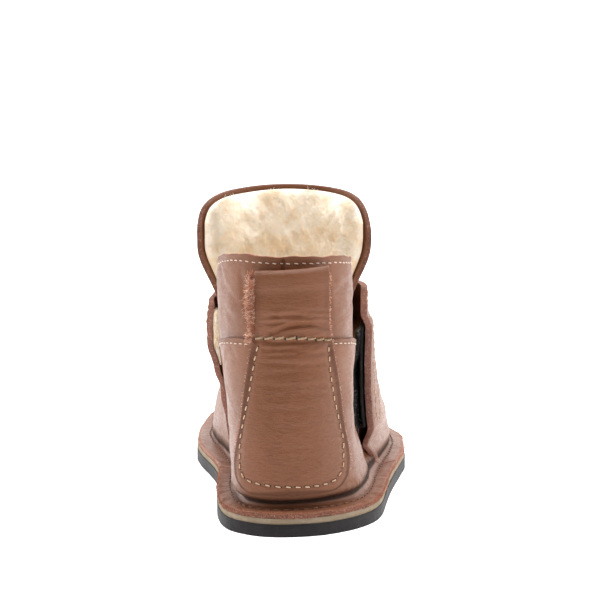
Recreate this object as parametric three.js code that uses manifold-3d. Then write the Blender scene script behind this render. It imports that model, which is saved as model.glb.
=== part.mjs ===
// A toddler's leather boot for the right foot: stitched-down edge, thin flat sole, fleece lining,
// heel patch with a pull loop, and a side flap that closes over hook-and-loop tape.
// Millimetres. +y points to the toe, +x to the outer side of the foot, z = 0 is the floor.
import * as THREE from "three";
import Module from "manifold-3d";

const wasm = await Module();
wasm.setup();

// Driving sizes. The tables below hold shares of these, in percent.
const SOLE_LENGTH = 172;
const BALL_WIDTH = 82.2;
const COLLAR_HEIGHT = 96;
const TONGUE_HEIGHT = 114;
const SEAM_HEIGHT = 68; // cross seam between counter and collar, at the back
const SEAM_FALL = 7.5; // how much lower that seam runs at both sides
const VAMP_TOP = 77.8; // where the vamp ends on the instep
const NOTCH_HEIGHT = 60.5; // low point between collar and vamp, under the wings
const FLAP_HEIGHT = 79.5; // top of the closing flap
const WING_HEIGHT = 71.5; // top of the vamp's inner wing
const TOE_SPRING = 3.5;

// Layers of the bottom, and the gap left where two soft pieces meet.
const GAP = 0.3;
const OUTSOLE = 4.5;
const MIDSOLE = 1.4;
const FLANGE = 1.9;
const MIDSOLE_BOTTOM = OUTSOLE + GAP;
const FLANGE_BOTTOM = MIDSOLE_BOTTOM + MIDSOLE + GAP;
const FLANGE_TOP = FLANGE_BOTTOM + FLANGE;
const LUG_DEPTH = 1.5;

// Leather, fleece and the width of the stitched-down edge.
const COLLAR_LEATHER = 1.8;
const COUNTER_STEP = 1.4; // the counter lies over the collar by this much
const COUNTER_INSIDE = 0.8;
const TAPE = 0.75;
const FLEECE = 4.4;
const FLANGE_WIDTH = 7.6;
const FLAP_LEATHER = 2.9;

// Tongue, insole, tapes and pull loop.
const TONGUE_LEATHER = 1.7;
const TONGUE_FLEECE = 5.4;
const TONGUE_FLARE = 6; // how far the tongue's upper corners turn out
const TONGUE_CROWN = 5; // how much lower its edges are than its middle
const TONGUE_CORNER = 10; // and its rounded corners, more
const TONGUE_TUCK = 4; // how far its foot reaches below the notches
const INSOLE_THICKNESS = 3;
const INSOLE_MARGIN = 2.2;
const TAPE_LOW = 25.6;
const TAPE_HIGH = 63.4;
const TAPE_WIDTH = 14;
const STRIP_LEATHER = 1.7;
const LOOP_DROP = 2.7; // the loop's fold lies this far under the collar's edge

// Sole outline: a row per cross section, distances from the heel's back and from the long axis.
const SOLE_SECTIONS = [
  { along: 0.0, medial: -8.8, lateral: -8.8 },
  { along: 0.7, medial: -17.3, lateral: 3.3 },
  { along: 1.7, medial: -21.6, lateral: 9.8 },
  { along: 3.5, medial: -26.7, lateral: 16.2 },
  { along: 5.8, medial: -30.7, lateral: 22.3 },
  { along: 9.3, medial: -33.7, lateral: 28.7 },
  { along: 13.4, medial: -35.5, lateral: 33.3 },
  { along: 18.6, medial: -36.6, lateral: 36.2 },
  { along: 26.2, medial: -37.1, lateral: 38.2 },
  { along: 34.9, medial: -37.0, lateral: 40.6 },
  { along: 43.6, medial: -38.5, lateral: 43.6 },
  { along: 52.3, medial: -42.4, lateral: 47.0 },
  { along: 61.0, medial: -47.2, lateral: 49.8 },
  { along: 69.8, medial: -50.0, lateral: 50.0 },
  { along: 77.9, medial: -49.9, lateral: 45.4 },
  { along: 85.5, medial: -47.8, lateral: 37.4 },
  { along: 91.3, medial: -45.0, lateral: 27.4 },
  { along: 95.9, medial: -38.4, lateral: 14.7 },
  { along: 98.5, medial: -30.6, lateral: 3.9 },
  { along: 100.0, medial: -14.9, lateral: -14.9 },
];

// Wall of the last: a row per direction seen from the ankle's axis, 0 at the back and 90 at the outer
// side. Each wall is a cubic from the feather line to a ring above the collar: lowOut and lowRise place
// its first handle, highOut and highDrop its second, topReach is the ring's distance from the axis.
const WALL_SECTIONS = [
  { turn: 0, lowOut: 2.8, lowRise: 27.1, topReach: 40.8, highOut: 3.6, highDrop: 33.3 },
  { turn: 30, lowOut: -3.6, lowRise: 25.0, topReach: 37.4, highOut: 3.0, highDrop: 34.4 },
  { turn: 60, lowOut: -7.9, lowRise: 25.0, topReach: 31.8, highOut: 2.4, highDrop: 35.4 },
  { turn: 90, lowOut: -8.5, lowRise: 27.1, topReach: 27.4, highOut: 3.1, highDrop: 35.4 },
  { turn: 113, lowOut: -13.5, lowRise: 14.6, topReach: 35.6, highOut: -5.0, highDrop: 41.7 },
  { turn: 125, lowOut: -10.9, lowRise: 16.7, topReach: 39.3, highOut: -3.0, highDrop: 43.8 },
  { turn: 136, lowOut: -3.6, lowRise: 18.8, topReach: 42.3, highOut: 1.2, highDrop: 47.9 },
  { turn: 145, lowOut: 1.2, lowRise: 18.8, topReach: 44.1, highOut: 3.6, highDrop: 56.2 },
  { turn: 155, lowOut: 2.4, lowRise: 22.9, topReach: 45.3, highOut: 4.8, highDrop: 60.4 },
  { turn: 167, lowOut: 3.6, lowRise: 27.1, topReach: 45.9, highOut: 4.8, highDrop: 62.5 },
  { turn: 180, lowOut: 6.6, lowRise: 31.2, topReach: 46.5, highOut: 6.0, highDrop: 64.6 },
  { turn: 193, lowOut: -2.4, lowRise: 31.2, topReach: 46.3, highOut: 8.9, highDrop: 62.5 },
  { turn: 205, lowOut: 2.0, lowRise: 27.1, topReach: 45.3, highOut: 11.0, highDrop: 58.3 },
  { turn: 215, lowOut: 4.8, lowRise: 25.0, topReach: 44.1, highOut: 6.6, highDrop: 52.1 },
  { turn: 231, lowOut: 4.8, lowRise: 27.1, topReach: 41.7, highOut: 2.4, highDrop: 45.8 },
  { turn: 250, lowOut: 4.8, lowRise: 29.2, topReach: 33.2, highOut: 1.2, highDrop: 39.6 },
  { turn: 270, lowOut: 4.2, lowRise: 29.2, topReach: 29.7, highOut: 1.8, highDrop: 37.5 },
  { turn: 300, lowOut: 2.4, lowRise: 27.1, topReach: 31.8, highOut: 2.4, highDrop: 35.4 },
  { turn: 330, lowOut: 2.4, lowRise: 27.1, topReach: 37.4, highOut: 3.0, highDrop: 34.4 },
];

// Top edges by direction: the collar, the notches under the wings and the vamp, then the lining.
const EDGE_SECTIONS = [
  { turn: 0, upper: COLLAR_HEIGHT, lining: COLLAR_HEIGHT - 0.6 },
  { turn: 70, upper: COLLAR_HEIGHT * 0.975, lining: COLLAR_HEIGHT * 0.97 },
  { turn: 86, upper: COLLAR_HEIGHT * 0.955, lining: COLLAR_HEIGHT * 0.95 },
  { turn: 94, upper: COLLAR_HEIGHT * 0.88, lining: COLLAR_HEIGHT * 0.86 },
  { turn: 100, upper: COLLAR_HEIGHT * 0.72, lining: COLLAR_HEIGHT * 0.7 },
  { turn: 107, upper: NOTCH_HEIGHT, lining: NOTCH_HEIGHT - 4 },
  { turn: 124, upper: NOTCH_HEIGHT, lining: NOTCH_HEIGHT - 6 },
  { turn: 142, upper: VAMP_TOP, lining: NOTCH_HEIGHT - 8 },
  { turn: 180, upper: VAMP_TOP + 1, lining: NOTCH_HEIGHT - 9 },
  { turn: 218, upper: VAMP_TOP - 1, lining: NOTCH_HEIGHT - 8 },
  { turn: 236, upper: NOTCH_HEIGHT, lining: NOTCH_HEIGHT - 6 },
  { turn: 253, upper: NOTCH_HEIGHT, lining: NOTCH_HEIGHT - 4 },
  { turn: 260, upper: COLLAR_HEIGHT * 0.72, lining: COLLAR_HEIGHT * 0.7 },
  { turn: 266, upper: COLLAR_HEIGHT * 0.88, lining: COLLAR_HEIGHT * 0.86 },
  { turn: 274, upper: COLLAR_HEIGHT * 0.955, lining: COLLAR_HEIGHT * 0.95 },
  { turn: 290, upper: COLLAR_HEIGHT * 0.975, lining: COLLAR_HEIGHT * 0.97 },
];

const HEEL_Y = -SOLE_LENGTH / 2;
const AXIS = { x: -BALL_WIDTH * 0.064, y: HEEL_Y + SOLE_LENGTH * 0.267 };
const RING_HEIGHT = COLLAR_HEIGHT + 2;
const WALL_BOTTOM = FLANGE_TOP - 0.3;

const mix = (a, b, share) => a + (b - a) * share;
const clamp = (value, low, high) => Math.min(high, Math.max(low, value));
const ease = (low, high, value) => {
  const share = clamp((value - low) / (high - low), 0, 1);
  return share * share * (3 - 2 * share);
};
const radians = (degrees) => (degrees * Math.PI) / 180;

// A smooth curve through rows that never swings past them; it wraps round when a period is given.
function curve(places, values, period = 0) {
  const n = places.length;
  const wrap = (i) => ((i % n) + n) % n;
  const at = (i) => places[wrap(i)] + period * Math.floor(i / n);
  const slope = (i) => (values[wrap(i + 1)] - values[wrap(i)]) / (at(i + 1) - at(i));
  const inner = (i) => period || (i > 0 && i < n - 1);
  const tangents = values.map((value, i) => {
    if (!inner(i)) return i === 0 ? slope(0) : slope(n - 2);
    const before = slope(i - 1);
    const after = slope(i);
    return before * after <= 0 ? 0 : (2 * before * after) / (before + after);
  });
  return (where) => {
    const place = period ? ((((where - places[0]) % period) + period) % period) + places[0] : where;
    let i = 0;
    while (i < (period ? n - 1 : n - 2) && place > at(i + 1)) i += 1;
    const span = at(i + 1) - at(i);
    const s = clamp((place - at(i)) / span, 0, 1);
    const a = values[i];
    const b = values[wrap(i + 1)];
    const h = s * s * (3 - 2 * s);
    return (
      mix(a, b, h) +
      span * (s * (1 - s) * (1 - s) * tangents[i] - s * s * (1 - s) * tangents[wrap(i + 1)])
    );
  };
}
const column = (rows, key, name, unit, period = 0) =>
  curve(rows.map((row) => row[key]), rows.map((row) => row[name] * unit), period);

// Sole outline. q runs from 0 at the heel's back to 1 at the toe, closer together at both ends.
const ends = SOLE_SECTIONS.map((row) => Math.acos(1 - row.along / 50) / Math.PI);
const side = {
  medial: curve(ends, SOLE_SECTIONS.map((row) => (row.medial / 100) * BALL_WIDTH)),
  lateral: curve(ends, SOLE_SECTIONS.map((row) => (row.lateral / 100) * BALL_WIDTH)),
};
const alongY = (q) => HEEL_Y + (SOLE_LENGTH * (1 - Math.cos(Math.PI * q))) / 2;

// The outline moved inwards, as points that run round from the heel's back by the outer side.
function outline(inset, steps = 90) {
  const points = [];
  for (let i = 0; i < steps; i++) points.push([side.lateral(i / steps), alongY(i / steps)]);
  for (let i = steps; i > 0; i--) points.push([side.medial(i / steps), alongY(i / steps)]);
  return points.map(([x, y], i) => {
    const [x0, y0] = points.at(i - 1);
    const [x1, y1] = points[(i + 1) % points.length];
    const length = Math.hypot(x1 - x0, y1 - y0);
    return [x - (inset * (y1 - y0)) / length, y + (inset * (x1 - x0)) / length];
  });
}

// How far an inset outline lies from the ankle's axis, by direction.
function reach(inset) {
  const rows = outline(inset, 180).map(([x, y]) => {
    const turn = (Math.atan2(x - AXIS.x, AXIS.y - y) * 180) / Math.PI;
    return { turn: (turn + 360) % 360, far: Math.hypot(x - AXIS.x, y - AXIS.y) };
  });
  rows.sort((a, b) => a.turn - b.turn);
  const kept = rows.filter((row, i) => i === 0 || row.turn - rows[i - 1].turn > 0.01);
  return curve(kept.map((row) => row.turn), kept.map((row) => row.far), 360);
}

const edgeReach = reach(0.4);
const featherReach = reach(FLANGE_WIDTH);
const wall = {
  lowOut: column(WALL_SECTIONS, "turn", "lowOut", BALL_WIDTH / 100, 360),
  lowRise: column(WALL_SECTIONS, "turn", "lowRise", COLLAR_HEIGHT / 100, 360),
  topReach: column(WALL_SECTIONS, "turn", "topReach", BALL_WIDTH / 100, 360),
  highOut: column(WALL_SECTIONS, "turn", "highOut", BALL_WIDTH / 100, 360),
  highDrop: column(WALL_SECTIONS, "turn", "highDrop", COLLAR_HEIGHT / 100, 360),
};
const topEdge = column(EDGE_SECTIONS, "turn", "upper", 1, 360);
const liningEdge = column(EDGE_SECTIONS, "turn", "lining", 1, 360);

const spring = (y) => TOE_SPRING * clamp((y / SOLE_LENGTH + 0.5 - 0.72) / 0.28, 0, 1) ** 2;
const lifted = (x, y, z) => [x, y, z + spring(y) * (1 - ease(20, 60, z))];

// A point of the last's wall: turn round the ankle's axis, t from the feather line (0) to the ring (1).
function wallPoint(turn, t) {
  const low = featherReach(turn);
  const top = wall.topReach(turn);
  const far = [low, low + wall.lowOut(turn), top + wall.highOut(turn), top];
  const rise = [
    WALL_BOTTOM,
    WALL_BOTTOM + wall.lowRise(turn),
    RING_HEIGHT - wall.highDrop(turn),
    RING_HEIGHT,
  ];
  const weights = [(1 - t) ** 3, 3 * t * (1 - t) ** 2, 3 * t * t * (1 - t), t ** 3];
  const sum = (values) => values.reduce((total, value, i) => total + value * weights[i], 0);
  const r = sum(far);
  const z = sum(rise);
  return [AXIS.x + r * Math.sin(radians(turn)), AXIS.y - r * Math.cos(radians(turn)), z];
}

// t of the wall at a height.
function tAt(turn, z) {
  let low = 0;
  let high = 1;
  for (let i = 0; i < 24; i++) {
    const middle = (low + high) / 2;
    if (wallPoint(turn, middle)[2] < z) low = middle;
    else high = middle;
  }
  return (low + high) / 2;
}

// A point at a distance outside the wall, along its normal.
function skin(turn, t, out) {
  const [x, y, z] = wallPoint(turn, t);
  const a = wallPoint(turn - 0.7, t);
  const b = wallPoint(turn + 0.7, t);
  const c = wallPoint(turn, clamp(t - 0.01, 0, 1));
  const d = wallPoint(turn, clamp(t + 0.01, 0, 1));
  const round = new THREE.Vector3(b[0] - a[0], b[1] - a[1], b[2] - a[2]);
  const up = new THREE.Vector3(d[0] - c[0], d[1] - c[1], d[2] - c[2]);
  const normal = round.cross(up).normalize().multiplyScalar(out);
  return lifted(x + normal.x, y + normal.y, z + normal.z);
}
const skinAt = (turn, z, out) => skin(turn, tAt(turn, z), out);

// The direction whose wall point at height z has the wanted x or y, between two directions.
function turnWhere(axis, wanted, z, from, to, out = 0) {
  let low = from;
  let high = to;
  const value = (turn) => (out ? skinAt(turn, z, out) : wallPoint(turn, tAt(turn, z)))[axis];
  const rising = value(to) > value(from);
  for (let i = 0; i < 22; i++) {
    const middle = (low + high) / 2;
    if (value(middle) < wanted === rising) low = middle;
    else high = middle;
  }
  return (low + high) / 2;
}

// Closed solids from grids of points. Each makes sure that its faces point out.
function solid(points, faces) {
  let volume = 0;
  for (const [a, b, c] of faces) {
    const [p, q, r] = [points[a], points[b], points[c]];
    volume +=
      p[0] * (q[1] * r[2] - q[2] * r[1]) +
      p[1] * (q[2] * r[0] - q[0] * r[2]) +
      p[2] * (q[0] * r[1] - q[1] * r[0]);
  }
  const outwards = volume > 0 ? faces : faces.map(([a, b, c]) => [a, c, b]);
  return new wasm.Manifold(
    new wasm.Mesh({
      numProp: 3,
      vertProperties: Float32Array.from(points.flat()),
      triVerts: Uint32Array.from(outwards.flat()),
    }),
  );
}

// A ring: the same closed section, a list of points, stands at every direction round the boot.
function ring(sections) {
  const n = sections.length;
  const m = sections[0].length;
  const faces = [];
  for (let i = 0; i < n; i++) {
    for (let j = 0; j < m; j++) {
      const a = i * m + j;
      const b = ((i + 1) % n) * m + j;
      const c = ((i + 1) % n) * m + ((j + 1) % m);
      const d = i * m + ((j + 1) % m);
      faces.push([a, b, c], [a, c, d]);
    }
  }
  return solid(sections.flat(), faces);
}

// A sheet: a grid of points on its back and the same grid on its face, closed round the rim.
function sheet(across, up, place) {
  const points = [];
  const index = (face, i, j) => (face * (across + 1) + i) * (up + 1) + j;
  for (let face = 0; face < 2; face++) {
    for (let i = 0; i <= across; i++) {
      for (let j = 0; j <= up; j++) points.push(place(i / across, j / up, face));
    }
  }
  const faces = [];
  const quad = (a, b, c, d) => faces.push([a, b, c], [a, c, d]);
  for (let i = 0; i < across; i++) {
    for (let j = 0; j < up; j++) {
      quad(index(1, i, j), index(1, i + 1, j), index(1, i + 1, j + 1), index(1, i, j + 1));
      quad(index(0, i, j), index(0, i, j + 1), index(0, i + 1, j + 1), index(0, i + 1, j));
    }
    quad(index(0, i, 0), index(0, i + 1, 0), index(1, i + 1, 0), index(1, i, 0));
    quad(index(0, i, up), index(1, i, up), index(1, i + 1, up), index(0, i + 1, up));
  }
  for (let j = 0; j < up; j++) {
    quad(index(0, 0, j), index(1, 0, j), index(1, 0, j + 1), index(0, 0, j + 1));
    quad(index(0, across, j), index(0, across, j + 1), index(1, across, j + 1), index(1, across, j));
  }
  return solid(points, faces);
}

// Directions for the rings, an even step apart along the sole's edge.
function directions(count) {
  const points = outline(2, 180);
  const lengths = [0];
  points.forEach(([x, y], i) => {
    const [x1, y1] = points[(i + 1) % points.length];
    lengths.push(lengths[i] + Math.hypot(x1 - x, y1 - y));
  });
  const total = lengths.at(-1);
  const turns = [];
  for (let k = 0; k < count; k++) {
    const wanted = (total * k) / count;
    let i = 0;
    while (lengths[i + 1] < wanted) i += 1;
    const share = (wanted - lengths[i]) / (lengths[i + 1] - lengths[i]);
    const [x0, y0] = points[i];
    const [x1, y1] = points[(i + 1) % points.length];
    const x = mix(x0, x1, share) - AXIS.x;
    const y = AXIS.y - mix(y0, y1, share);
    turns.push(((Math.atan2(x, y) * 180) / Math.PI + 360) % 360);
  }
  return turns.sort((a, b) => a - b);
}

// Layers of the bottom: one outline between two heights, with the toe spring.
function layer(inset, bottom, top, sections = 30) {
  const place = (i, j, face) => {
    const q = mix(0.004, 0.996, i);
    const points = { medial: side.medial(q), lateral: side.lateral(q) };
    const y = alongY(q) * (1 - (2 * inset) / SOLE_LENGTH);
    const slim = Math.min(inset, (points.lateral - points.medial) / 2.2);
    const x = mix(points.medial + slim, points.lateral - slim, j);
    return lifted(x, y, face ? top : bottom);
  };
  return sheet(sections, 2, place);
}

// Rubber sole with shallow lugs: curved slots across the tread, open downwards, closed at the sides.
function outsole() {
  let body = layer(0, 0, OUTSOLE, 34);
  const slots = [0.06, 0.11, 0.16, 0.21, 0.6, 0.65, 0.7, 0.75, 0.8, 0.85, 0.9];
  for (const share of slots) {
    const q = Math.acos(1 - 2 * share) / Math.PI;
    const margin = 6;
    const slot = sheet(6, 1, (i, j, face) => {
      const x = mix(side.medial(q) + margin, side.lateral(q) - margin, i);
      const bow = 2.4 * Math.sin(Math.PI * i);
      const y = alongY(q) + bow + (j - 0.5) * 2.6;
      return lifted(x, y, face ? LUG_DEPTH : -1);
    });
    body = body.subtract(slot);
  }
  return body;
}

// The leather wall's distance from the last's wall, outside and inside.
const frontShare = (turn) => ease(96, 112, turn) * (1 - ease(248, 264, turn));
const outsideAbove = (turn) => COUNTER_STEP * frontShare(turn);
const insideAbove = (turn) => -mix(COLLAR_LEATHER, COUNTER_INSIDE, frontShare(turn));

// Height of the cross seam by direction: it falls from the back towards both sides.
const seamAt = (turn) =>
  SEAM_HEIGHT - SEAM_FALL * (1 - Math.cos(radians(turn))) * (1 - frontShare(turn));

function upperShell() {
  const lowRows = 11;
  const highRows = 3;
  const sections = directions(56).map((turn) => {
    const top = topEdge(turn);
    const seam = Math.min(seamAt(turn), top - 3);
    const far = (share, z) => {
      const r = mix(featherReach(turn) + COUNTER_STEP, edgeReach(turn), share);
      return lifted(AXIS.x + r * Math.sin(radians(turn)), AXIS.y - r * Math.cos(radians(turn)), z);
    };
    const outer = [far(1, FLANGE_BOTTOM), far(1, FLANGE_TOP - 0.3), far(0.6, FLANGE_TOP)];
    outer.push(far(0.16, FLANGE_TOP + 0.2));
    const inner = [];
    const tRoot = tAt(turn, FLANGE_TOP + 2.2);
    const tSeam = tAt(turn, seam);
    const tTop = tAt(turn, top);
    for (let k = 0; k <= lowRows; k++) {
      const t = mix(tRoot, tSeam, k / lowRows);
      const blend = ease(0.75, 1, k / lowRows);
      outer.push(skin(turn, t, COUNTER_STEP));
      inner.push(skin(turn, t, mix(-COUNTER_INSIDE, insideAbove(turn), blend)));
    }
    for (let k = 0; k <= highRows; k++) {
      const t = mix(tSeam + 0.004, tTop, k / highRows);
      outer.push(skin(turn, t, outsideAbove(turn)));
      if (k > 0) inner.push(skin(turn, t, insideAbove(turn)));
    }
    const low = skin(turn, 0, -COUNTER_INSIDE);
    inner.unshift([low[0], low[1], lifted(low[0], low[1], FLANGE_BOTTOM)[2]]);
    return [...outer, ...inner.reverse()];
  });
  return ring(sections);
}

// The closing flap: the vamp's outer wing. Its rear edge stands off the counter and hides the tapes.
const FLAP = {
  rearY: HEEL_Y + SOLE_LENGTH * 0.349,
  footY: HEEL_Y + SOLE_LENGTH * 0.42,
  backX: BALL_WIDTH * 0.28,
  top: FLAP_HEIGHT,
  corner: COLLAR_HEIGHT * 0.23,
  foot: FLANGE_TOP + 1.2,
  thickness: FLAP_LEATHER,
  frontTurn: 166,
};
const TAPES = { low: TAPE_LOW, high: TAPE_HIGH, deep: TAPE_WIDTH - 1 };
function flap() {
  return sheet(11, 10, (i, j, face) => {
    const z = mix(FLAP.foot, mix(FLAP.top, VAMP_TOP + 0.5, i), j);
    const rearY = mix(FLAP.footY, FLAP.rearY, clamp((z - FLAP.foot) / (FLAP.corner - FLAP.foot), 0, 1));
    const rear = turnWhere(1, rearY, z, 95, 165);
    const turn = mix(rear, FLAP.frontTurn, i);
    const taped = ease(TAPES.low - 8, TAPES.low, z) * (1 - ease(TAPES.high, TAPES.high + 8, z));
    const held = COUNTER_STEP + 2 * TAPE + 4.8 * GAP;
    const stand = Math.max(FLAP.backX - wallPoint(rear, tAt(rear, z))[0], mix(0.9, held, taped));
    const fade = 1 - ease(0.25, 0.9, i);
    const thick = mix(1.9, FLAP.thickness, ease(FLAP.foot, FLAP.corner + 8, z));
    const back = mix(-0.4, stand, fade);
    const front = Math.max(back + 0.6, mix(COUNTER_STEP - 0.15, stand + thick, fade));
    return skinAt(turn, z, face ? front : back);
  });
}

// The vamp's inner wing lies close to the counter; its upper part stands a little further out.
const WING = { rearY: FLAP.rearY + 1, lowY: FLAP.rearY + 4, top: WING_HEIGHT, frontTurn: 214 };
function wing() {
  return sheet(8, 9, (i, j, face) => {
    const z = mix(FLAP.foot, mix(WING.top, VAMP_TOP - 0.5, i), j);
    const rearY = mix(WING.lowY, WING.rearY, ease(0.44, 0.52, z / COLLAR_HEIGHT));
    const rear = turnWhere(1, rearY, z, 262, 200);
    const turn = mix(rear, WING.frontTurn, i);
    const fade = (1 - i) ** 1.5;
    const bulge = ease(0.44, 0.58, z / COLLAR_HEIGHT) * (1 - ease(0.62, 0.78, z / COLLAR_HEIGHT));
    const raise = mix(1.5, 3.2, bulge);
    const back = mix(-0.4, raise - 2.2, fade);
    const front = mix(COUNTER_STEP - 0.15, raise + 0.6, fade);
    return skinAt(turn, z, face ? front : back);
  });
}

// Fleece shell inside the leather.
function fleeceLining() {
  const rows = 6;
  const sections = directions(46).map((turn, place) => {
    const tuft = 0.7 * Math.sin(place * 2.4) * Math.sin(place * 5.1);
    const top = liningEdge(turn) + tuft;
    const tTop = tAt(turn, top);
    const tLow = tAt(turn, FLANGE_TOP + 1);
    const outer = [];
    const inner = [];
    for (let k = 0; k <= rows; k++) {
      const t = mix(tLow, tTop, k / rows);
      const z = wallPoint(turn, t)[2];
      const blend = ease(SEAM_HEIGHT * 0.7, SEAM_HEIGHT * 0.92, z);
      const face = mix(-COUNTER_INSIDE, insideAbove(turn), blend) - GAP - 0.35;
      outer.push(skin(turn, t, face));
      inner.push(skin(turn, t, face - FLEECE * (k === rows ? 0.7 : 1)));
    }
    for (const list of [outer, inner]) {
      const [x, y] = list[0];
      list[0] = lifted(x, y, FLANGE_BOTTOM);
    }
    return [...outer, ...inner.reverse()];
  });
  return ring(sections);
}

// Tongue: follows the vamp's inside, then flares out above it. across runs from -1 to 1.
const TONGUE = { foot: NOTCH_HEIGHT - TONGUE_TUCK, footTurn: 30, edgeTurn: 62 };
function tonguePoint(across, height, out) {
  const crown = TONGUE_HEIGHT - TONGUE_CROWN * across ** 2 - TONGUE_CORNER * Math.abs(across) ** 7;
  const z = mix(TONGUE.foot, crown, height);
  const spread = mix(TONGUE.footTurn, TONGUE.edgeTurn, ease(TONGUE.foot * 0.9, SEAM_HEIGHT * 1.07, z));
  const turn = 179 + across * spread;
  const held = Math.min(z, COLLAR_HEIGHT);
  const [x, y, level] = skinAt(turn, held, -COUNTER_INSIDE - 3 * GAP + out);
  const widest = TONGUE_FLARE * (across < 0 ? 1 : 1.25);
  const edgeOnly = mix(4.5, 1.5, ease(VAMP_TOP, COLLAR_HEIGHT, z));
  const rising = ease(SEAM_HEIGHT * 1.03, COLLAR_HEIGHT * 0.97, z);
  const flare = widest * rising * Math.abs(across) ** edgeOnly;
  const lean = 0.12 * Math.max(0, z - COLLAR_HEIGHT);
  return [x - Math.sign(across) * flare, y + lean, level + z - held];
}
const tongue = () =>
  sheet(18, 12, (i, j, face) => tonguePoint(2 * i - 1, j, face ? 0 : -TONGUE_LEATHER));

// Fleece on the tongue's inside, with soft locks that stand up from it.
function tongueFleece() {
  const margin = 0.94;
  const behind = -TONGUE_LEATHER - 2.4 * GAP;
  const height = (j) => mix(0.03, 0.972, j);
  const lock = (i, j) => 0.9 * Math.sin(i * 61 + j * 37) * Math.sin(i * 23 - j * 51);
  const body = sheet(14, 12, (i, j, face) => {
    const rim = Math.min(i, 1 - i, 1 - j) * 12;
    const depth = TONGUE_FLEECE * (0.45 + 0.55 * clamp(rim, 0, 1)) + lock(i, j);
    return tonguePoint((2 * i - 1) * margin, height(j), face ? behind : behind - depth);
  });
  const locks = [];
  for (let row = 0; row < 4; row++) {
    const count = row < 3 ? 6 : 9;
    for (let k = 0; k < count; k++) {
      const across = margin * mix(-0.86, 0.86, (k + 0.25 + 0.5 * (row % 2)) / count);
      const foot = height(mix(0.42, 0.93, row / 3));
      locks.push(fleeceLock(across, foot, behind - TONGUE_FLEECE * 0.55, row + k));
    }
  }
  return locks.reduce((joined, lock) => joined.add(lock), body);
}

// One lock: a four-sided tuft that rises from the pile and leans a little to one side.
function fleeceLock(across, foot, depth, count) {
  const wide = 0.075;
  const tall = 0.085;
  const lean = 0.03 * Math.sin(count * 2.7);
  const corners = [[-wide, 0], [0, -0.35 * tall], [wide, 0], [0, 0.5 * tall]];
  const place = (dx, dz, out) => tonguePoint(across + dx, Math.min(foot + dz, 0.985), out);
  const points = corners.map(([dx, dz]) => place(dx, dz, depth));
  points.push(place(lean, tall, depth - TONGUE_FLEECE * 0.5));
  const faces = [[0, 1, 4], [1, 2, 4], [2, 3, 4], [3, 0, 4], [0, 2, 1], [0, 3, 2]];
  return solid(points, faces);
}

// Heel patch and pull loop: one strip, sewn down to the cross seam, then folded back on itself.
const STRIP = {
  centre: -BALL_WIDTH * 0.036,
  thickness: STRIP_LEATHER,
  seat: GAP + 1.25,
  loopTop: COLLAR_HEIGHT - LOOP_DROP,
};
const STRIP_WIDTHS = [
  { height: 14.5, half: 12.5 },
  { height: 16, half: 17.2 },
  { height: 19, half: 19.8 },
  { height: 24, half: 20.5 },
  { height: 40, half: 18.3 },
  { height: 55, half: 16.5 },
  { height: 69, half: 14.2 },
  { height: 76, half: 13.1 },
  { height: 98, half: 12.9 },
];
const halfWidth = column(STRIP_WIDTHS, "height", "half", BALL_WIDTH / 82.8);
function stripPoint(across, z, out) {
  const share = (z / COLLAR_HEIGHT) * 100;
  const held = clamp(z, FLANGE_TOP + 1, RING_HEIGHT - 0.5);
  const x = STRIP.centre + across * halfWidth(share);
  const turn = turnWhere(0, x, held, -80, 80, out);
  return skinAt(turn, held, out);
}
// The path of a strip as rows of height and distance from the last's wall.
function stripSheet(rows, across) {
  const share = (name) => curve(rows.map((row, k) => k / (rows.length - 1)), rows.map((row) => row[name]));
  const height = share("height");
  const out = share("out");
  const steps = rows.length - 1;
  return sheet(across, steps, (i, j, face) => {
    const before = clamp(j - 0.02, 0, 1);
    const after = clamp(j + 0.02, 0, 1);
    const dz = height(after) - height(before);
    const dn = out(after) - out(before);
    const length = Math.hypot(dz, dn);
    const half = (face ? 0.5 : -0.5) * STRIP.thickness;
    const z = height(j) - (half * dn) / length;
    return stripPoint(2 * i - 1, z, out(j) + (half * dz) / length);
  });
}
function heelPatchLoop() {
  const seated = COUNTER_STEP + STRIP.seat;
  const top = STRIP.loopTop;
  const front = [
    { height: 15.4, out: seated },
    { height: 18, out: seated },
    { height: 28, out: seated },
    { height: 38, out: seated },
    { height: 48, out: seated },
    { height: 58, out: seated },
    { height: SEAM_HEIGHT - 2, out: seated },
    { height: SEAM_HEIGHT + 4, out: seated + 0.7 },
    { height: top - 15, out: seated + 2.6 },
    { height: top - 6, out: seated + 3.4 },
    { height: top - 1.6, out: seated + 2.6 },
    { height: top - 0.9, out: seated + 1.2 },
  ];
  const back = [
    { height: top - 1.1, out: seated + 1.9 },
    { height: top - 2.4, out: seated + 0.1 },
    { height: top - 7, out: STRIP.seat + 0.1 },
    { height: top - 14, out: STRIP.seat },
    { height: SEAM_HEIGHT + 3.2, out: STRIP.seat },
    { height: SEAM_HEIGHT + 1.4, out: STRIP.seat + 1.3 },
  ];
  return stripSheet(front, 11).add(stripSheet(back, 11));
}

// Hook tape on the counter, loop tape on the flap's inside, face to face.
function tape(out) {
  return sheet(6, 5, (i, j, face) => {
    const z = mix(TAPES.low, TAPES.high, j);
    const y = FLAP.rearY + mix(-1, TAPES.deep, i);
    const turn = turnWhere(1, y, z, 80, 165);
    return skinAt(turn, z, out + (face ? TAPE : 0));
  });
}

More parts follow.
